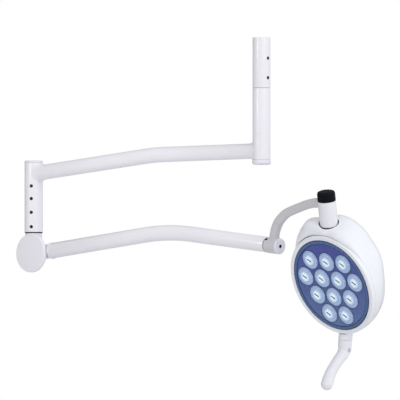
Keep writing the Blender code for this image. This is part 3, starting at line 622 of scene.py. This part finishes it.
def block(size, centre, placed):
    """A plain box for a boolean."""
    bm = bmesh.new()
    bmesh.ops.create_cube(bm, size=1)
    bmesh.ops.scale(bm, vec=size, verts=bm.verts)
    bmesh.ops.translate(bm, vec=centre, verts=bm.verts)
    return finish("cutter", bm, placed, None, None)


def build_knuckle():
    fork = finish("fork", lathe(rod(FORK_NECK_R, KNUCKLE.z + 0.001, FORK_TOP), 64), AT_POST,
                  None, None)
    front = cutter(rod(0.046, -CHEEK_OUT, -CHEEK_IN), ACROSS, 96)
    rear = cutter(rod(0.0185, CHEEK_IN, CHEEK_OUT), ACROSS, 64)
    combine(fork, (front, rear), "UNION")
    soften(fork, CAST_VOXEL, 5)
    slot_top, slot_foot = KNUCKLE.z + EYE_R + 0.0008, -0.70
    combine(fork, (block((0.20, FORK_SLOT, slot_top - slot_foot),
                         (-0.86, 0, (slot_top + slot_foot) / 2), WORLD),
                   cutter(rod(PIN_R + GAP, -0.1, 0.1), ACROSS),
                   cutter(rod(SPINDLE_HOLE_R, -0.5453, -0.50), AT_POST)))
    adopt(fork, "knuckle_casting", "elbow_bracket", CAST, ("knuckle_fork",))

    inside = HUB_R - HUB_WALL
    cup = turned("hub_disc",
                 ((0, PIN_HEAD), (inside, PIN_HEAD), (inside, 0.0190), (HUB_R, 0.0190),
                  (HUB_R, 0.0268), (0.0541, 0.0287), (0.0520, 0.0296), (0.0400, 0.0299),
                  (0.0200, HUB_FACE), (0, HUB_FACE)),
                 along(KNUCKLE, (0, -1, 0), (0, 0, 1)), "elbow_bracket", WHITE,
                 ("hub_cover_front",), 0.0006, 128)
    combine(cup, (cutter(rod(FORK_NECK_R + GAP, KNUCKLE.z + 0.03, -0.50), AT_POST, 96),))
    turned("rear_cap", ((0, PIN_HEAD), (0.0160, PIN_HEAD), (0.0160, 0.0263), (0.0148, 0.0275),
                        (0, 0.0275)), ACROSS, "elbow_bracket", CAST, ("hub_cap_rear",))
    turned("pivot_pin", rod(PIN_R, -CHEEK_OUT, CHEEK_OUT), ACROSS, "elbow_bracket", STEEL,
           ("knuckle_pin",), 0.0006, 48)
    turned("swivel_ring", tube(0.0256, SPINDLE_HOLE_R, FORK_TOP + GAP, POST_LOW - 0.0004),
           AT_POST, "elbow_bracket", BLACK, ("elbow_thrust_ring",), 0.0004)


def adopt(made, name, body, material, nodes):
    """Names and shades a finished casting, ties it to its body and hides the nodes it replaces."""
    made.data.materials.append(material)
    shade(made)
    made.name = name
    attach(made, body)
    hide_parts(*nodes)


COLLAR_R, COLLAR_LOW, COLLAR_TOP = 0.0238, 0.0560, 0.0640
ARM_R, ARM_BORE_R = 0.0218, 0.0187


def build_lower_arm():
    root = finish("root", lathe(((0, COLLAR_LOW), (0.0223, COLLAR_LOW), (COLLAR_R, 0.0575),
                                 (COLLAR_R, 0.0628), (0.0226, COLLAR_TOP), (0, COLLAR_TOP)), 96),
                  ARM_START, None, None)
    eye = cutter(rod(EYE_R, -EYE_HALF, EYE_HALF), ACROSS, 96)
    web = block((0.038, 2 * EYE_HALF, 0.060), (0, 0, 0.030), ARM_START)
    combine(root, (eye, web), "UNION")
    soften(root, CAST_VOXEL, 4)
    combine(root, (cutter(rod(0.0150, -0.1, 0.1), ACROSS),
                   cutter(rod(0.0055, -0.02, 0.2), ARM_START, 32)))
    adopt(root, "arm_socket", "lower_arm", CAST, ("arm_root",))

    start = KNUCKLE + ARM_RISE * (COLLAR_TOP + GAP)
    end = ARM_END - RUN * 0.0280
    path = bent_line(start, LOWER_BEND, end)
    first, lip = path[0][1], TUBE_LIP
    rounding = ((0, lip), (lip * 0.4, lip * 0.3), (lip, 0))
    stations = [(start + first * step, first, ARM_R - drop) for step, drop in rounding]
    stations += [(p, t, ARM_R) for p, t in path[1:-1]]
    stations += [(end - RUN * step, RUN, ARM_R - drop) for step, drop in reversed(rounding)]
    outer = [ring_points(p, t, r, r, ROUND) for p, t, r in stations]
    inner = [ring_points(p, t, ARM_BORE_R, ARM_BORE_R, ROUND) for p, t, _ in reversed(stations)]
    finish("lower_tube", skin(outer + inner, loop=True), WORLD, "lower_arm", WHITE,
           ("lower_arm_tube",))


def build_spring():
    """The balance spring in the arm, one fixed coil here; in the real arm it shortens as the
    plunger follows the tilt.
    """
    coil_r, wire_r, low, high, coils = 0.0150, 0.0018, 0.1030, 0.3220, 12
    steps = coils * 24
    line = []
    for i in range(steps + 1):
        turn = 2 * math.pi * coils * i / steps
        line.append(Vector((coil_r * math.cos(turn), coil_r * math.sin(turn),
                            low + (high - low) * i / steps)))
    rings = [ring_points(point, tangent, wire_r, wire_r, 8, (0, 0, 1))
             for point, tangent in zip(line, tangents(line))]
    coil = finish("coil_spring", skin(rings), ARM_START, "lower_arm", STEEL,
                  ("balance_spring",), 60)
    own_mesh(coil)


# ---------------------------------------------------------------- yoke

# Middle of the cranked bar, along the arm's end and up the neck
YOKE_LINE = ((0.000, 0.008), (0.002, 0.026), (0.009, 0.047), (0.023, 0.070), (0.041, 0.088),
             (0.061, 0.102), (0.100, 0.119), (0.143, 0.135), (0.175, 0.1425), (0.209, 0.144))
YOKE_LOW, YOKE_HIGH, YOKE_R, YOKE_BORE_R = -0.026, 0.0155, 0.0225, 0.0173
BAR_HIGH, BAR_WIDE, BAR_SQUARENESS = 0.0130, 0.0115, 3.4
NECK_R, NECK_BORE_R, NECK_LOW, NECK_TOP = 0.0255, 0.0215, 0.080, 0.152


def build_yoke():
    """The cranked casting: a sleeve and a bar run together, then bored for its shaft and neck."""
    sleeve = lathe(fillet(rod(YOKE_R, YOKE_LOW, YOKE_HIGH), 0.0008), ROUND)
    yoke = finish("yoke", sleeve, ROLL_AXIS, None, None)
    line = spline([(x, y, 0) for x, y in YOKE_LINE], 8)
    rings = []
    for point, tangent in zip(line, tangents(line)):
        up = Vector((-tangent.y, tangent.x, 0))
        ring = []
        for i in range(48):
            turn = 2 * math.pi * i / 48
            c, s = math.cos(turn), math.sin(turn)
            square = (abs(c) ** BAR_SQUARENESS + abs(s) ** BAR_SQUARENESS) ** (-1 / BAR_SQUARENESS)
            ring.append(point + up * BAR_HIGH * square * c + Vector((0, 0, BAR_WIDE * square * s)))
        rings.append(ring)
    combine(yoke, (finish("cutter", skin(rings), YOKE, None, None),), "UNION")
    soften(yoke, CAST_VOXEL, 9)
    lean = math.radians(30)
    screw_axis = YOKE.to_3x3() @ Vector((0, math.cos(lean), math.sin(lean)))
    seat = YOKE @ Vector((-0.020, 0, 0)) + screw_axis * 0.0175
    combine(yoke, (cutter(rod(YOKE_BORE_R, -0.1, 0.1), ROLL_AXIS, ROUND),
                   cutter(rod(NECK_R + GAP, 0.0, 0.3), NECK_AXIS, ROUND),
                   cutter(rod(0.0044, -0.006, 0.02), along(seat, screw_axis, (0, 0, 1)))))
    adopt(yoke, "yoke_arm", "yoke", GREY, ("yoke_casting",))
    socket_screw("stop_head", "roll_stop_screw", seat, screw_axis, 0.0050, 0.0040, "yoke")

    top, hole, plug = YOKE_HIGH + GAP, 0.0053, 0.0169
    turned("end_disc",
           ((hole, top - 0.005), (plug, top - 0.005), (plug, top), (YOKE_R, top),
            (YOKE_R, top + 0.0035), (0.0213, top + 0.0052), (0.0195, top + 0.0060),
            (hole, top + 0.0060)), ROLL_AXIS, "yoke", CAST, ("yoke_end_cap",))
    socket_screw("cap_head", "yoke_cap_screw", YOKE @ Vector((top - 0.004, 0, 0)),
                 YOKE.to_3x3() @ Vector((1, 0, 0)), 0.0096, 0.0050, "yoke")

    turned("neck_sleeve", tube(NECK_R, NECK_BORE_R, NECK_LOW, NECK_TOP), NECK_AXIS, "yoke",
           WHITE, ("neck_tube",), 0.0010)
    base, plug = NECK_TOP + GAP, NECK_BORE_R - GAP
    turned("neck_plug",
           ((0, base - 0.012), (plug, base - 0.012), (plug, base), (NECK_R, base),
            (0.0257, base + 0.004), (NECK_R, base + 0.0215), (0.0235, base + 0.0265),
            (0.0190, base + 0.0283), (0.0100, base + 0.0288), (0, base + 0.0290)),
           NECK_AXIS, "yoke", BLACK, ("neck_cap",), 0.0012)


# ---------------------------------------------------------------- lamp head

HEAD_R, HEAD_DEPTH, ROUNDNESS, SEAM_Z, WALL = 0.1505, 0.125, 2.5, 0.0317, 0.003
SHELL_LEVELS = (0.0317, 0.0310, 0.0290, 0.0260, 0.0200, 0.0, -0.022, -0.042, -0.058,
                -0.069, -0.0755, -0.078)
HOOD_LINE = ((0.0317, 0.1512), (0.0420, 0.1516), (0.0435, 0.1560), (0.0375, 0.1650),
             (0.0260, 0.1700), (0.0, 0.1730), (-0.022, 0.1755), (-0.042, 0.1775),
             (-0.058, 0.1680), (-0.069, 0.1450), (-0.0755, 0.1050), (-0.078, 0.0))
FRONT_SWELL = ((-95, 0.0), (-78, 0.05), (-56, 0.30), (-47, 0.62), (-36, 1.15), (-27, 1.65),
               (-19, 2.00), (-6, 1.35), (6, 0.90), (19, 1.00), (28, 0.85), (39, 0.60),
               (56, 0.25), (78, 0.05), (95, 0.0))
BACK_SWELL = ((-100, 0.0), (-85, 0.10), (-68, 0.31), (-56, 0.44), (-40, 0.57), (-32, 0.71),
              (-20, 0.86), (0, 1.0), (20, 0.86), (32, 0.71), (40, 0.57), (56, 0.44),
              (68, 0.31), (85, 0.10), (100, 0.0))
NECK_HOLE_R = 0.0290
PANEL_R, LENS_R, LENS_PITCH = 0.1370, 0.0278, 0.0615
LENS_ROWS = ((0.0712, (-1, 0, 1)), (0.0178, (-1.5, -0.5, 0.5, 1.5)),
             (-0.0356, (-1, 0, 1)), (-0.0890, (-0.5, 0.5)))


def smooth_step(start, end, value):
    t = min(max((value - start) / (end - start), 0.0), 1.0)
    return t * t * (3 - 2 * t)


def through(table, at):
    """A smooth curve through (position, value) rows, level beyond both ends."""
    if at <= table[0][0] or at >= table[-1][0]:
        return table[0][1] if at <= table[0][0] else table[-1][1]
    i = next(i for i in range(len(table) - 1) if at <= table[i + 1][0])
    low, high = table[i], table[i + 1]
    before, after = table[max(i - 1, 0)], table[min(i + 2, len(table) - 1)]
    width = high[0] - low[0]
    rise_low = (high[1] - before[1]) / (high[0] - before[0])
    rise_high = (after[1] - low[1]) / (after[0] - low[0])
    t = (at - low[0]) / width
    return ((1 + 2 * t) * (1 - t) ** 2 * low[1] + t * (1 - t) ** 2 * width * rise_low
            + t * t * (3 - 2 * t) * high[1] - t * t * (1 - t) * width * rise_high)


def shell_profile(angle):
    """The housing's outer (z, radius) line at one angle from the neck, from seam to back."""
    front, back = through(FRONT_SWELL, angle), through(BACK_SWELL, angle)
    line = []
    for base_z, (hood_z, hood_r) in zip(SHELL_LEVELS, HOOD_LINE):
        depth = (HEAD_FRONT - base_z) / HEAD_DEPTH
        base_r = HEAD_R * max(0.0, 1 - depth ** ROUNDNESS) ** (1 / ROUNDNESS)
        swell = front + (back - front) * smooth_step(-0.022, 0.040, -base_z)
        line.append((base_z + (hood_z - base_z) * min(swell, 1),
                     base_r + (hood_r - base_r) * swell))
    return line


def wall_inside(outer):
    """The same line one wall further in; its edge stays in the seam."""
    line = [(SEAM_Z, outer[0][1] - WALL)]
    for before, point, after in zip(outer, outer[1:], outer[2:]):
        outwards, inwards = max(before[0] - after[0], 0.0), max(before[1] - after[1], -1)
        size = math.hypot(outwards, inwards)
        line.append((min(point[0] + WALL * inwards / size, SEAM_Z - 0.0010 * len(line)),
                     point[1] - WALL * outwards / size))
    return line + [(outer[-1][0] + WALL, 0.0)]


def build_housing():
    """One shell: a rounded back that swells into a hood in front of the neck."""
    sides = 180
    angles = [-180 + 360 * i / sides for i in range(sides)]
    coarse = [shell_profile(angle) for angle in angles]
    outer = [[(p.x, p.y) for p in spline([(z, r, 0) for z, r in line], 4)] for line in coarse]
    inner = [wall_inside(line) for line in coarse]
    bm = bmesh.new()

    def row(lines, k):
        made = []
        for angle, line in zip(angles, lines):
            turn, (z, radius) = math.radians(angle), line[k]
            made.append(bm.verts.new((radius * math.sin(turn), radius * math.cos(turn), z)))
        return made

    rows = [row(outer, k) for k in reversed(range(len(outer[0]) - 1))]
    rows += [row(inner, k) for k in range(len(inner[0]) - 1)]
    for one, two in zip(rows, rows[1:]):
        for i in range(sides):
            k = (i + 1) % sides
            bm.faces.new((one[i], one[k], two[k], two[i]))
    for rim, lines in ((rows[0], outer), (rows[-1], inner)):
        tip = bm.verts.new((0, 0, lines[0][-1][0]))
        for i in range(sides):
            bm.faces.new((rim[i], rim[(i + 1) % sides], tip))
    shell = finish("lamp_shell", bm, HEAD, "lamp_head", SHELL, ("rear_housing",), 40)
    combine(shell, (cutter(rod(NECK_HOLE_R, 0.02, 0.20), NECK_AXIS, ROUND),), sharp=40)


def build_gasket():
    """The rubber ring round the neck, cut to the slope of the hood."""
    top, bottom, sides, slope_x, slope_y = 0.0885, 0.0785, ROUND, -0.24, 0.28

    def loop(radius, height):
        out = []
        for i in range(sides):
            turn = 2 * math.pi * i / sides
            x, y = radius * math.cos(turn), radius * math.sin(turn)
            out.append(Vector((x, y, height + slope_x * x + slope_y * y)))
        return out

    rings = [loop(0.0286, bottom), loop(0.0286, top - 0.0012), loop(0.0281, top - 0.0002),
             loop(0.0272, top), loop(0.0263, top - 0.0004), loop(0.0260, top - 0.0014),
             loop(0.0260, bottom)]
    finish("neck_seal", skin(rings, loop=True), NECK_AXIS, "lamp_head", SEAL, ("neck_gasket",))


def lens_mesh():
    """A domed lens with stepped rings and a fluted rim."""
    rings, sides = [], 96
    profile = ((LENS_R, 0.0335), (LENS_R, 0.0452), (0.0273, 0.0461), (0.0264, 0.0466),
               (0.0250, 0.0469), (0.0236, 0.0475), (0.0222, 0.0477), (0.0212, 0.0483),
               (0.0180, 0.0490), (0.0172, 0.0489), (0.0150, 0.0495), (0.0125, 0.0499),
               (0.0117, 0.0497), (0.0090, 0.0501), (0.0060, 0.0503), (0.0030, 0.0504))
    for radius, z in profile:
        fluted = 0.00035 if 0.0215 < radius < 0.0265 and z > 0.046 else 0.0
        ring = []
        for i in range(sides):
            turn = 2 * math.pi * i / sides
            lift = fluted if i % 4 < 2 else -fluted
            ring.append(Vector((radius * math.cos(turn), radius * math.sin(turn), z + lift)))
        rings.append(ring)
    return skin(rings)


def round_end_bar_mesh(length, width, low, high):
    """A flat bar with round ends."""
    rings = []
    for z in (low, high):
        ring = []
        for side, start in ((1, -90), (-1, 90)):
            for k in range(9):
                turn = math.radians(start + 180 * k / 8)
                ring.append(Vector((side * (length - width) / 2 + width / 2 * math.cos(turn),
                                    width / 2 * math.sin(turn), z)))
        rings.append(ring)
    return skin(rings)


FACE_SIDES, FACE_SPAN = 192, 0.13
PLATE_STEP, PLATE_TOP = 0.0440, 0.0456                       # heights of the panel's levels
# turn of the painted reflection of the LED chip on each lens
CHIP_REFLECTION_TURN = math.radians(-31)
# Colours at the foot, the middle and the top of the face: painted light and shade, lighter at the
# foot and darker at the top
PLATE_BLUES = ((0.092, 0.166, 0.370), (0.050, 0.094, 0.325), (0.035, 0.051, 0.310))
RING_BLUES = ((0.050, 0.125, 0.305), (0.042, 0.117, 0.305), (0.047, 0.131, 0.320))
# near-black painted shade for the creases beside the ring
CREASE_SHADE_BLUES = ((0.010, 0.020, 0.055), (0.008, 0.016, 0.050), (0.008, 0.016, 0.050))
COLLAR_BLUES = ((0.060, 0.105, 0.290), (0.045, 0.085, 0.270), (0.035, 0.060, 0.250))


def lens_places():
    for height, steps in LENS_ROWS:
        for step in steps:
            yield Vector((step * LENS_PITCH, height, 0))


def panel_band(name, profile, material, radius):
    """A ring of the panel; its profile's radii are measured in from the panel's edge."""
    rows = tuple((PANEL_R - inwards, height) for inwards, height in profile)
    turned(name, rows, HEAD, "lamp_head", material, (), radius, FACE_SIDES)


def build_face():
    rim, ledge, foot, seat = 0.1502, 0.1455, 0.0320, 0.0375
    turned("bezel_ring",
           ((PANEL_R, seat), (PANEL_R, PLATE_TOP + 0.0002), (PANEL_R + 0.0010, HEAD_FRONT),
            (ledge, 0.0472), (0.1485, 0.0460), (0.1498, 0.0438), (rim, 0.0405), (rim, foot),
            (ledge, foot), (ledge, seat)), HEAD, "lamp_head", SHELL, ("front_bezel",),
           0.0009, FACE_SIDES)
    edge, step = PANEL_R - 0.0004, PANEL_R - 0.0114
    panel = turned("panel_plate",
                   ((0, 0.0420), (edge, 0.0420), (edge, PLATE_STEP), (step, PLATE_STEP),
                    (step, 0.0452), (step - 0.0010, PLATE_TOP), (0, PLATE_TOP)), HEAD,
                   "lamp_head", panel_material("blue_panel", PLATE_BLUES), ("lens_panel",),
                   0.0004, FACE_SIDES)
    holes = bmesh.new()
    for place in lens_places():
        one = lathe(rod(LENS_R + GAP, 0.03, 0.06), 64)
        one.transform(Matrix.Translation(place))
        scratch = bpy.data.meshes.new("scratch")
        one.to_mesh(scratch)
        one.free()
        holes.from_mesh(scratch)
        bpy.data.meshes.remove(scratch)
    combine(panel, (finish("cutter", holes, HEAD, None, None),))

    # painted shade: near-black bands fill the groove by the bezel and the step inside the ring,
    # darkening these creases
    line = panel_material("ring_crease_shade", CREASE_SHADE_BLUES, 0.1)
    low, high = PLATE_STEP, PLATE_TOP
    panel_band("panel_ring",
               ((0.0102, low), (0.0102, 0.0462), (0.0092, 0.0470), (0.0044, 0.0474),
                (0.0028, 0.0470), (0.0022, 0.0458), (0.0022, low)),
               panel_material("ring_blue", RING_BLUES), 0.0005)
    panel_band("panel_groove", ((0.0021, low), (0.0021, high), (0.0004, high), (0.0004, low)),
               line, 0.0001)
    low, high = PLATE_STEP + 0.0001, PLATE_TOP + 0.0002
    panel_band("panel_step", ((0.0113, low), (0.0113, high), (0.0103, high), (0.0103, low)),
               line, 0.0001)

    lens_finish = lens_material()
    collar = panel_material("collar_blue", COLLAR_BLUES)
    # painted reflection: a near-black bar on each lens's face stands for the dark image of its LED
    # chip
    chip_reflection = moulded("chip_reflection_dark", (0.006, 0.010, 0.022), 0.55)
    tilt = Matrix.Rotation(CHIP_REFLECTION_TURN, 4, "Z")
    for i, place in enumerate(lens_places()):
        at = HEAD @ Matrix.Translation(place)
        finish("lens_dome_%02d" % (i + 1), lens_mesh(), at, "lamp_head", lens_finish,
               ("lens_%02d" % (i + 1),))
        turned("lens_collar_%02d" % (i + 1),
               ((0.0281, 0.0457), (0.0281, 0.0466), (0.0294, 0.0466), (0.0297, 0.0457)), at,
               "lamp_head", collar, (), 0.0003, 64)
        finish("lens_slot_%02d" % (i + 1), round_end_bar_mesh(0.0170, 0.0032, 0.0490, 0.0508),
               at @ tilt, "lamp_head", chip_reflection, ())


# ---------------------------------------------------------------- handle

HANDLE_LEAN = math.radians(24)
HANDLE_ROOT = Vector((0, -0.150, 0.029))
HANDLE_DIR = Vector((0, -math.cos(HANDLE_LEAN), math.sin(HANDLE_LEAN)))
HANDLE_AXIS = HEAD @ along(HANDLE_ROOT, HANDLE_DIR, (1, 0, 0))
# The grip: (distance, radius) along its slope, then (y, z, radius) in the head's frame
GRIP_LINE = ((0.0, 0.0193), (0.014, 0.0191), (0.028, 0.0182))
GRIP_BEND = ((-0.2075, 0.064, 0.0166), (-0.213, 0.079, 0.0156), (-0.222, 0.098, 0.0152),
             (-0.236, 0.122, 0.0156), (-0.253, 0.140, 0.0168))
GRIP_END = Vector((0, -0.2605, 0.1465))
GRIP_END_R = 0.0168
SOCKET_LENGTH, SPIGOT_R, SPIGOT_LENGTH = 0.024, 0.0125, 0.018
BUTTON_PLACE = Vector((0, -0.1957, 0.0493))


def build_handle():
    spigot_end = SOCKET_LENGTH + SPIGOT_LENGTH
    socket = turned("socket_boss",
                    ((0, -0.020), (0.0195, -0.020), (0.0195, 0.0225), (0.0188, SOCKET_LENGTH),
                     (SPIGOT_R, SOCKET_LENGTH), (SPIGOT_R, spigot_end), (0, spigot_end)),
                    HANDLE_AXIS, "lamp_head", HANDLE, ("handle_socket",), 0.0008)
    combine(socket, (cutter(rod(HEAD_R + 0.0006, -0.05, 0.10), HEAD, 240),))

    start = SOCKET_LENGTH + GAP
    rows = [(*(HANDLE_ROOT + HANDLE_DIR * (start + d)), r) for d, r in GRIP_LINE]
    rows += [(0, y, z, r) for y, z, r in GRIP_BEND] + [(*GRIP_END, GRIP_END_R)]
    smooth = spline(rows, 6)
    centres = [p.to_3d() for p in smooth]
    directions = tangents(centres)
    directions[0] = HANDLE_DIR

    def round_ring(centre, direction, radius):
        return ring_points(centre, direction, radius, radius, 64, (1, 0, 0))

    rings = [round_ring(centres[0], HANDLE_DIR, 0.0185),
             round_ring(centres[0] + HANDLE_DIR * 0.0004, HANDLE_DIR, 0.0191)]
    rings += [round_ring(c, t, p[3]) for c, t, p in list(zip(centres, directions, smooth))[1:]]
    for turn in (15, 30, 45, 60, 72, 82, 87):
        angle = math.radians(turn)
        rings.append(round_ring(GRIP_END + directions[-1] * GRIP_END_R * math.sin(angle),
                                directions[-1], GRIP_END_R * math.cos(angle)))
    grip = finish("grip", skin(rings), HEAD, "handle", HANDLE, ("handle_grip",))
    across = HEAD @ along(BUTTON_PLACE, (1, 0, 0))
    combine(grip, (cutter(rod(0.0130, 0, 0.0435), HANDLE_AXIS),
                   cutter(rod(0.0060, 0.0100, 0.05), across)))
    turned("thumb_button",
           ((0, 0.0135), (0.0058, 0.0135), (0.0058, 0.0198), (0.0042, 0.0212), (0, 0.0216)),
           across, "button", BUTTON, ("release_button",), 0.0008, 48)


# ---------------------------------------------------------------- carried-over nodes

def repaint_nodes():
    """Better materials on the inner parts, whose shapes stay."""
    finishes = {"swivel_spindle": STEEL, "spindle_nut": STEEL, "elbow_spindle": STEEL,
                "head_spindle": STEEL, "spring_plunger": STEEL,
                "roll_spindle": DARK, "elbow_circlip": DARK, "swivel_bush": BRONZE,
                "elbow_bush": BRONZE, "knuckle_bush": BRONZE, "yoke_bush": BRONZE,
                "neck_bush": BRONZE, "brake_sleeve": NYLON, "led_board": board_material(),
                "heat_sink": sink_material()}
    for name, made in finishes.items():
        for slot in NODES[name].material_slots:
            slot.material = made


# ---------------------------------------------------------------- light and camera

FLOOR_SIZE, FLOOR_DROP = 30, 6.0
ROOM_BRIGHT_SIDE = Vector((0.954, -0.089, 0.287))
ROOM_DIM, ROOM_BRIGHT = 0.09, 1.22
ROOM_TINT = (0.95, 0.955, 1.0, 1)
KEY_PLACE, KEY_TARGET = Vector((2.4, -0.4, 0.5)), Vector((0.25, 0, -0.55))
KEY_SIZE, KEY_WATTS = 1.0, 5
BEAM_PLACE, BEAM_TARGET = Vector((-0.9, -3.6, 0.4)), Vector((-0.43, 0, -0.36))
BEAM_WATTS, BEAM_SIZE, BEAM_ANGLE, BEAM_BLEND = 152, 0.5, math.radians(20), 0.35
CAMERA_TURN, CAMERA_RISE = math.radians(42), math.radians(-2)
CAMERA_TARGET, CAMERA_DISTANCE, PICTURE_WIDTH = Vector((-0.234, 0.0015, -0.452)), 50.0, 1.128


def build_stage():
    """A pale floor, far below a lamp that hangs from the ceiling."""
    floor = bmesh.new()
    bmesh.ops.create_grid(floor, x_segments=1, y_segments=1, size=FLOOR_SIZE)
    mesh = bpy.data.meshes.new("floor")
    floor.to_mesh(mesh)
    floor.free()
    made = bpy.data.objects.new("floor", mesh)
    made.location = (0, 0, CAD_BOX[0][2] - FLOOR_DROP)
    bpy.context.scene.collection.objects.link(made)
    pale = principled("floor_pale", (0.90, 0.90, 0.91), 0.8)
    shader_of(pale).inputs["Emission Color"].default_value = (1, 1, 1, 1)
    shader_of(pale).inputs["Emission Strength"].default_value = 0.02
    mesh.materials.append(pale)


def hang_light(data, place, target):
    made = bpy.data.objects.new(data.name, data)
    made.location = place
    made.rotation_euler = (target - place).to_track_quat("-Z", "Y").to_euler()
    bpy.context.scene.collection.objects.link(made)


def build_light():
    """A white room, dimmer to the left, a weak key from the right and a beam on the arms."""
    world = bpy.data.worlds.new("studio")
    bpy.context.scene.world = world
    world.use_nodes = True
    tree = world.node_tree
    tree.nodes.clear()
    out = tree.nodes.new("ShaderNodeOutputWorld")
    seen = tree.nodes.new("ShaderNodeBackground")
    seen.inputs["Color"].default_value = (1, 1, 1, 1)
    seen.inputs["Strength"].default_value = 1.0
    coords = tree.nodes.new("ShaderNodeTexCoord")
    towards = tree.nodes.new("ShaderNodeVectorMath")
    towards.operation = "DOT_PRODUCT"
    towards.inputs[1].default_value = ROOM_BRIGHT_SIDE
    level = tree.nodes.new("ShaderNodeMapRange")
    level.inputs["From Min"].default_value = -1.0
    level.inputs["From Max"].default_value = 1.0
    level.inputs["To Min"].default_value = ROOM_DIM
    level.inputs["To Max"].default_value = ROOM_BRIGHT
    fill = tree.nodes.new("ShaderNodeBackground")
    fill.inputs["Color"].default_value = ROOM_TINT
    path = tree.nodes.new("ShaderNodeLightPath")
    mix = tree.nodes.new("ShaderNodeMixShader")
    tree.links.new(coords.outputs["Generated"], towards.inputs[0])
    tree.links.new(towards.outputs["Value"], level.inputs["Value"])
    tree.links.new(level.outputs["Result"], fill.inputs["Strength"])
    tree.links.new(path.outputs["Is Camera Ray"], mix.inputs["Fac"])
    tree.links.new(fill.outputs["Background"], mix.inputs[1])
    tree.links.new(seen.outputs["Background"], mix.inputs[2])
    tree.links.new(mix.outputs["Shader"], out.inputs["Surface"])
    key = bpy.data.lights.new("key", "AREA")
    key.shape, key.size, key.energy, key.color = "DISK", KEY_SIZE, KEY_WATTS, (1.0, 0.995, 0.985)
    hang_light(key, KEY_PLACE, KEY_TARGET)
    beam = bpy.data.lights.new("arm_beam", "SPOT")
    beam.energy, beam.shadow_soft_size = BEAM_WATTS, BEAM_SIZE
    beam.spot_size, beam.spot_blend = BEAM_ANGLE, BEAM_BLEND
    hang_light(beam, BEAM_PLACE, BEAM_TARGET)


def build_camera():
    """The picture's view: 42 degrees round to the right, two degrees from below."""
    out = Vector((math.sin(CAMERA_TURN) * math.cos(CAMERA_RISE),
                  -math.cos(CAMERA_TURN) * math.cos(CAMERA_RISE), math.sin(CAMERA_RISE)))
    data = bpy.data.cameras.new("camera")
    data.sensor_width = 36
    data.sensor_fit = "AUTO"
    data.lens = data.sensor_width * CAMERA_DISTANCE / PICTURE_WIDTH
    data.clip_end = 200
    made = bpy.data.objects.new("camera", data)
    made.location = CAMERA_TARGET + out * CAMERA_DISTANCE
    made.rotation_euler = (-out).to_track_quat("-Z", "Y").to_euler()
    bpy.context.scene.collection.objects.link(made)
    bpy.context.scene.camera = made
    bpy.context.scene.view_settings.view_transform = "Standard"


build_drop()
build_upper_arm()
build_post()
build_knuckle()
build_lower_arm()
build_spring()
build_yoke()
build_housing()
build_gasket()
build_face()
build_handle()
repaint_nodes()
build_stage()
build_light()
build_camera()
bpy.context.view_layer.update()
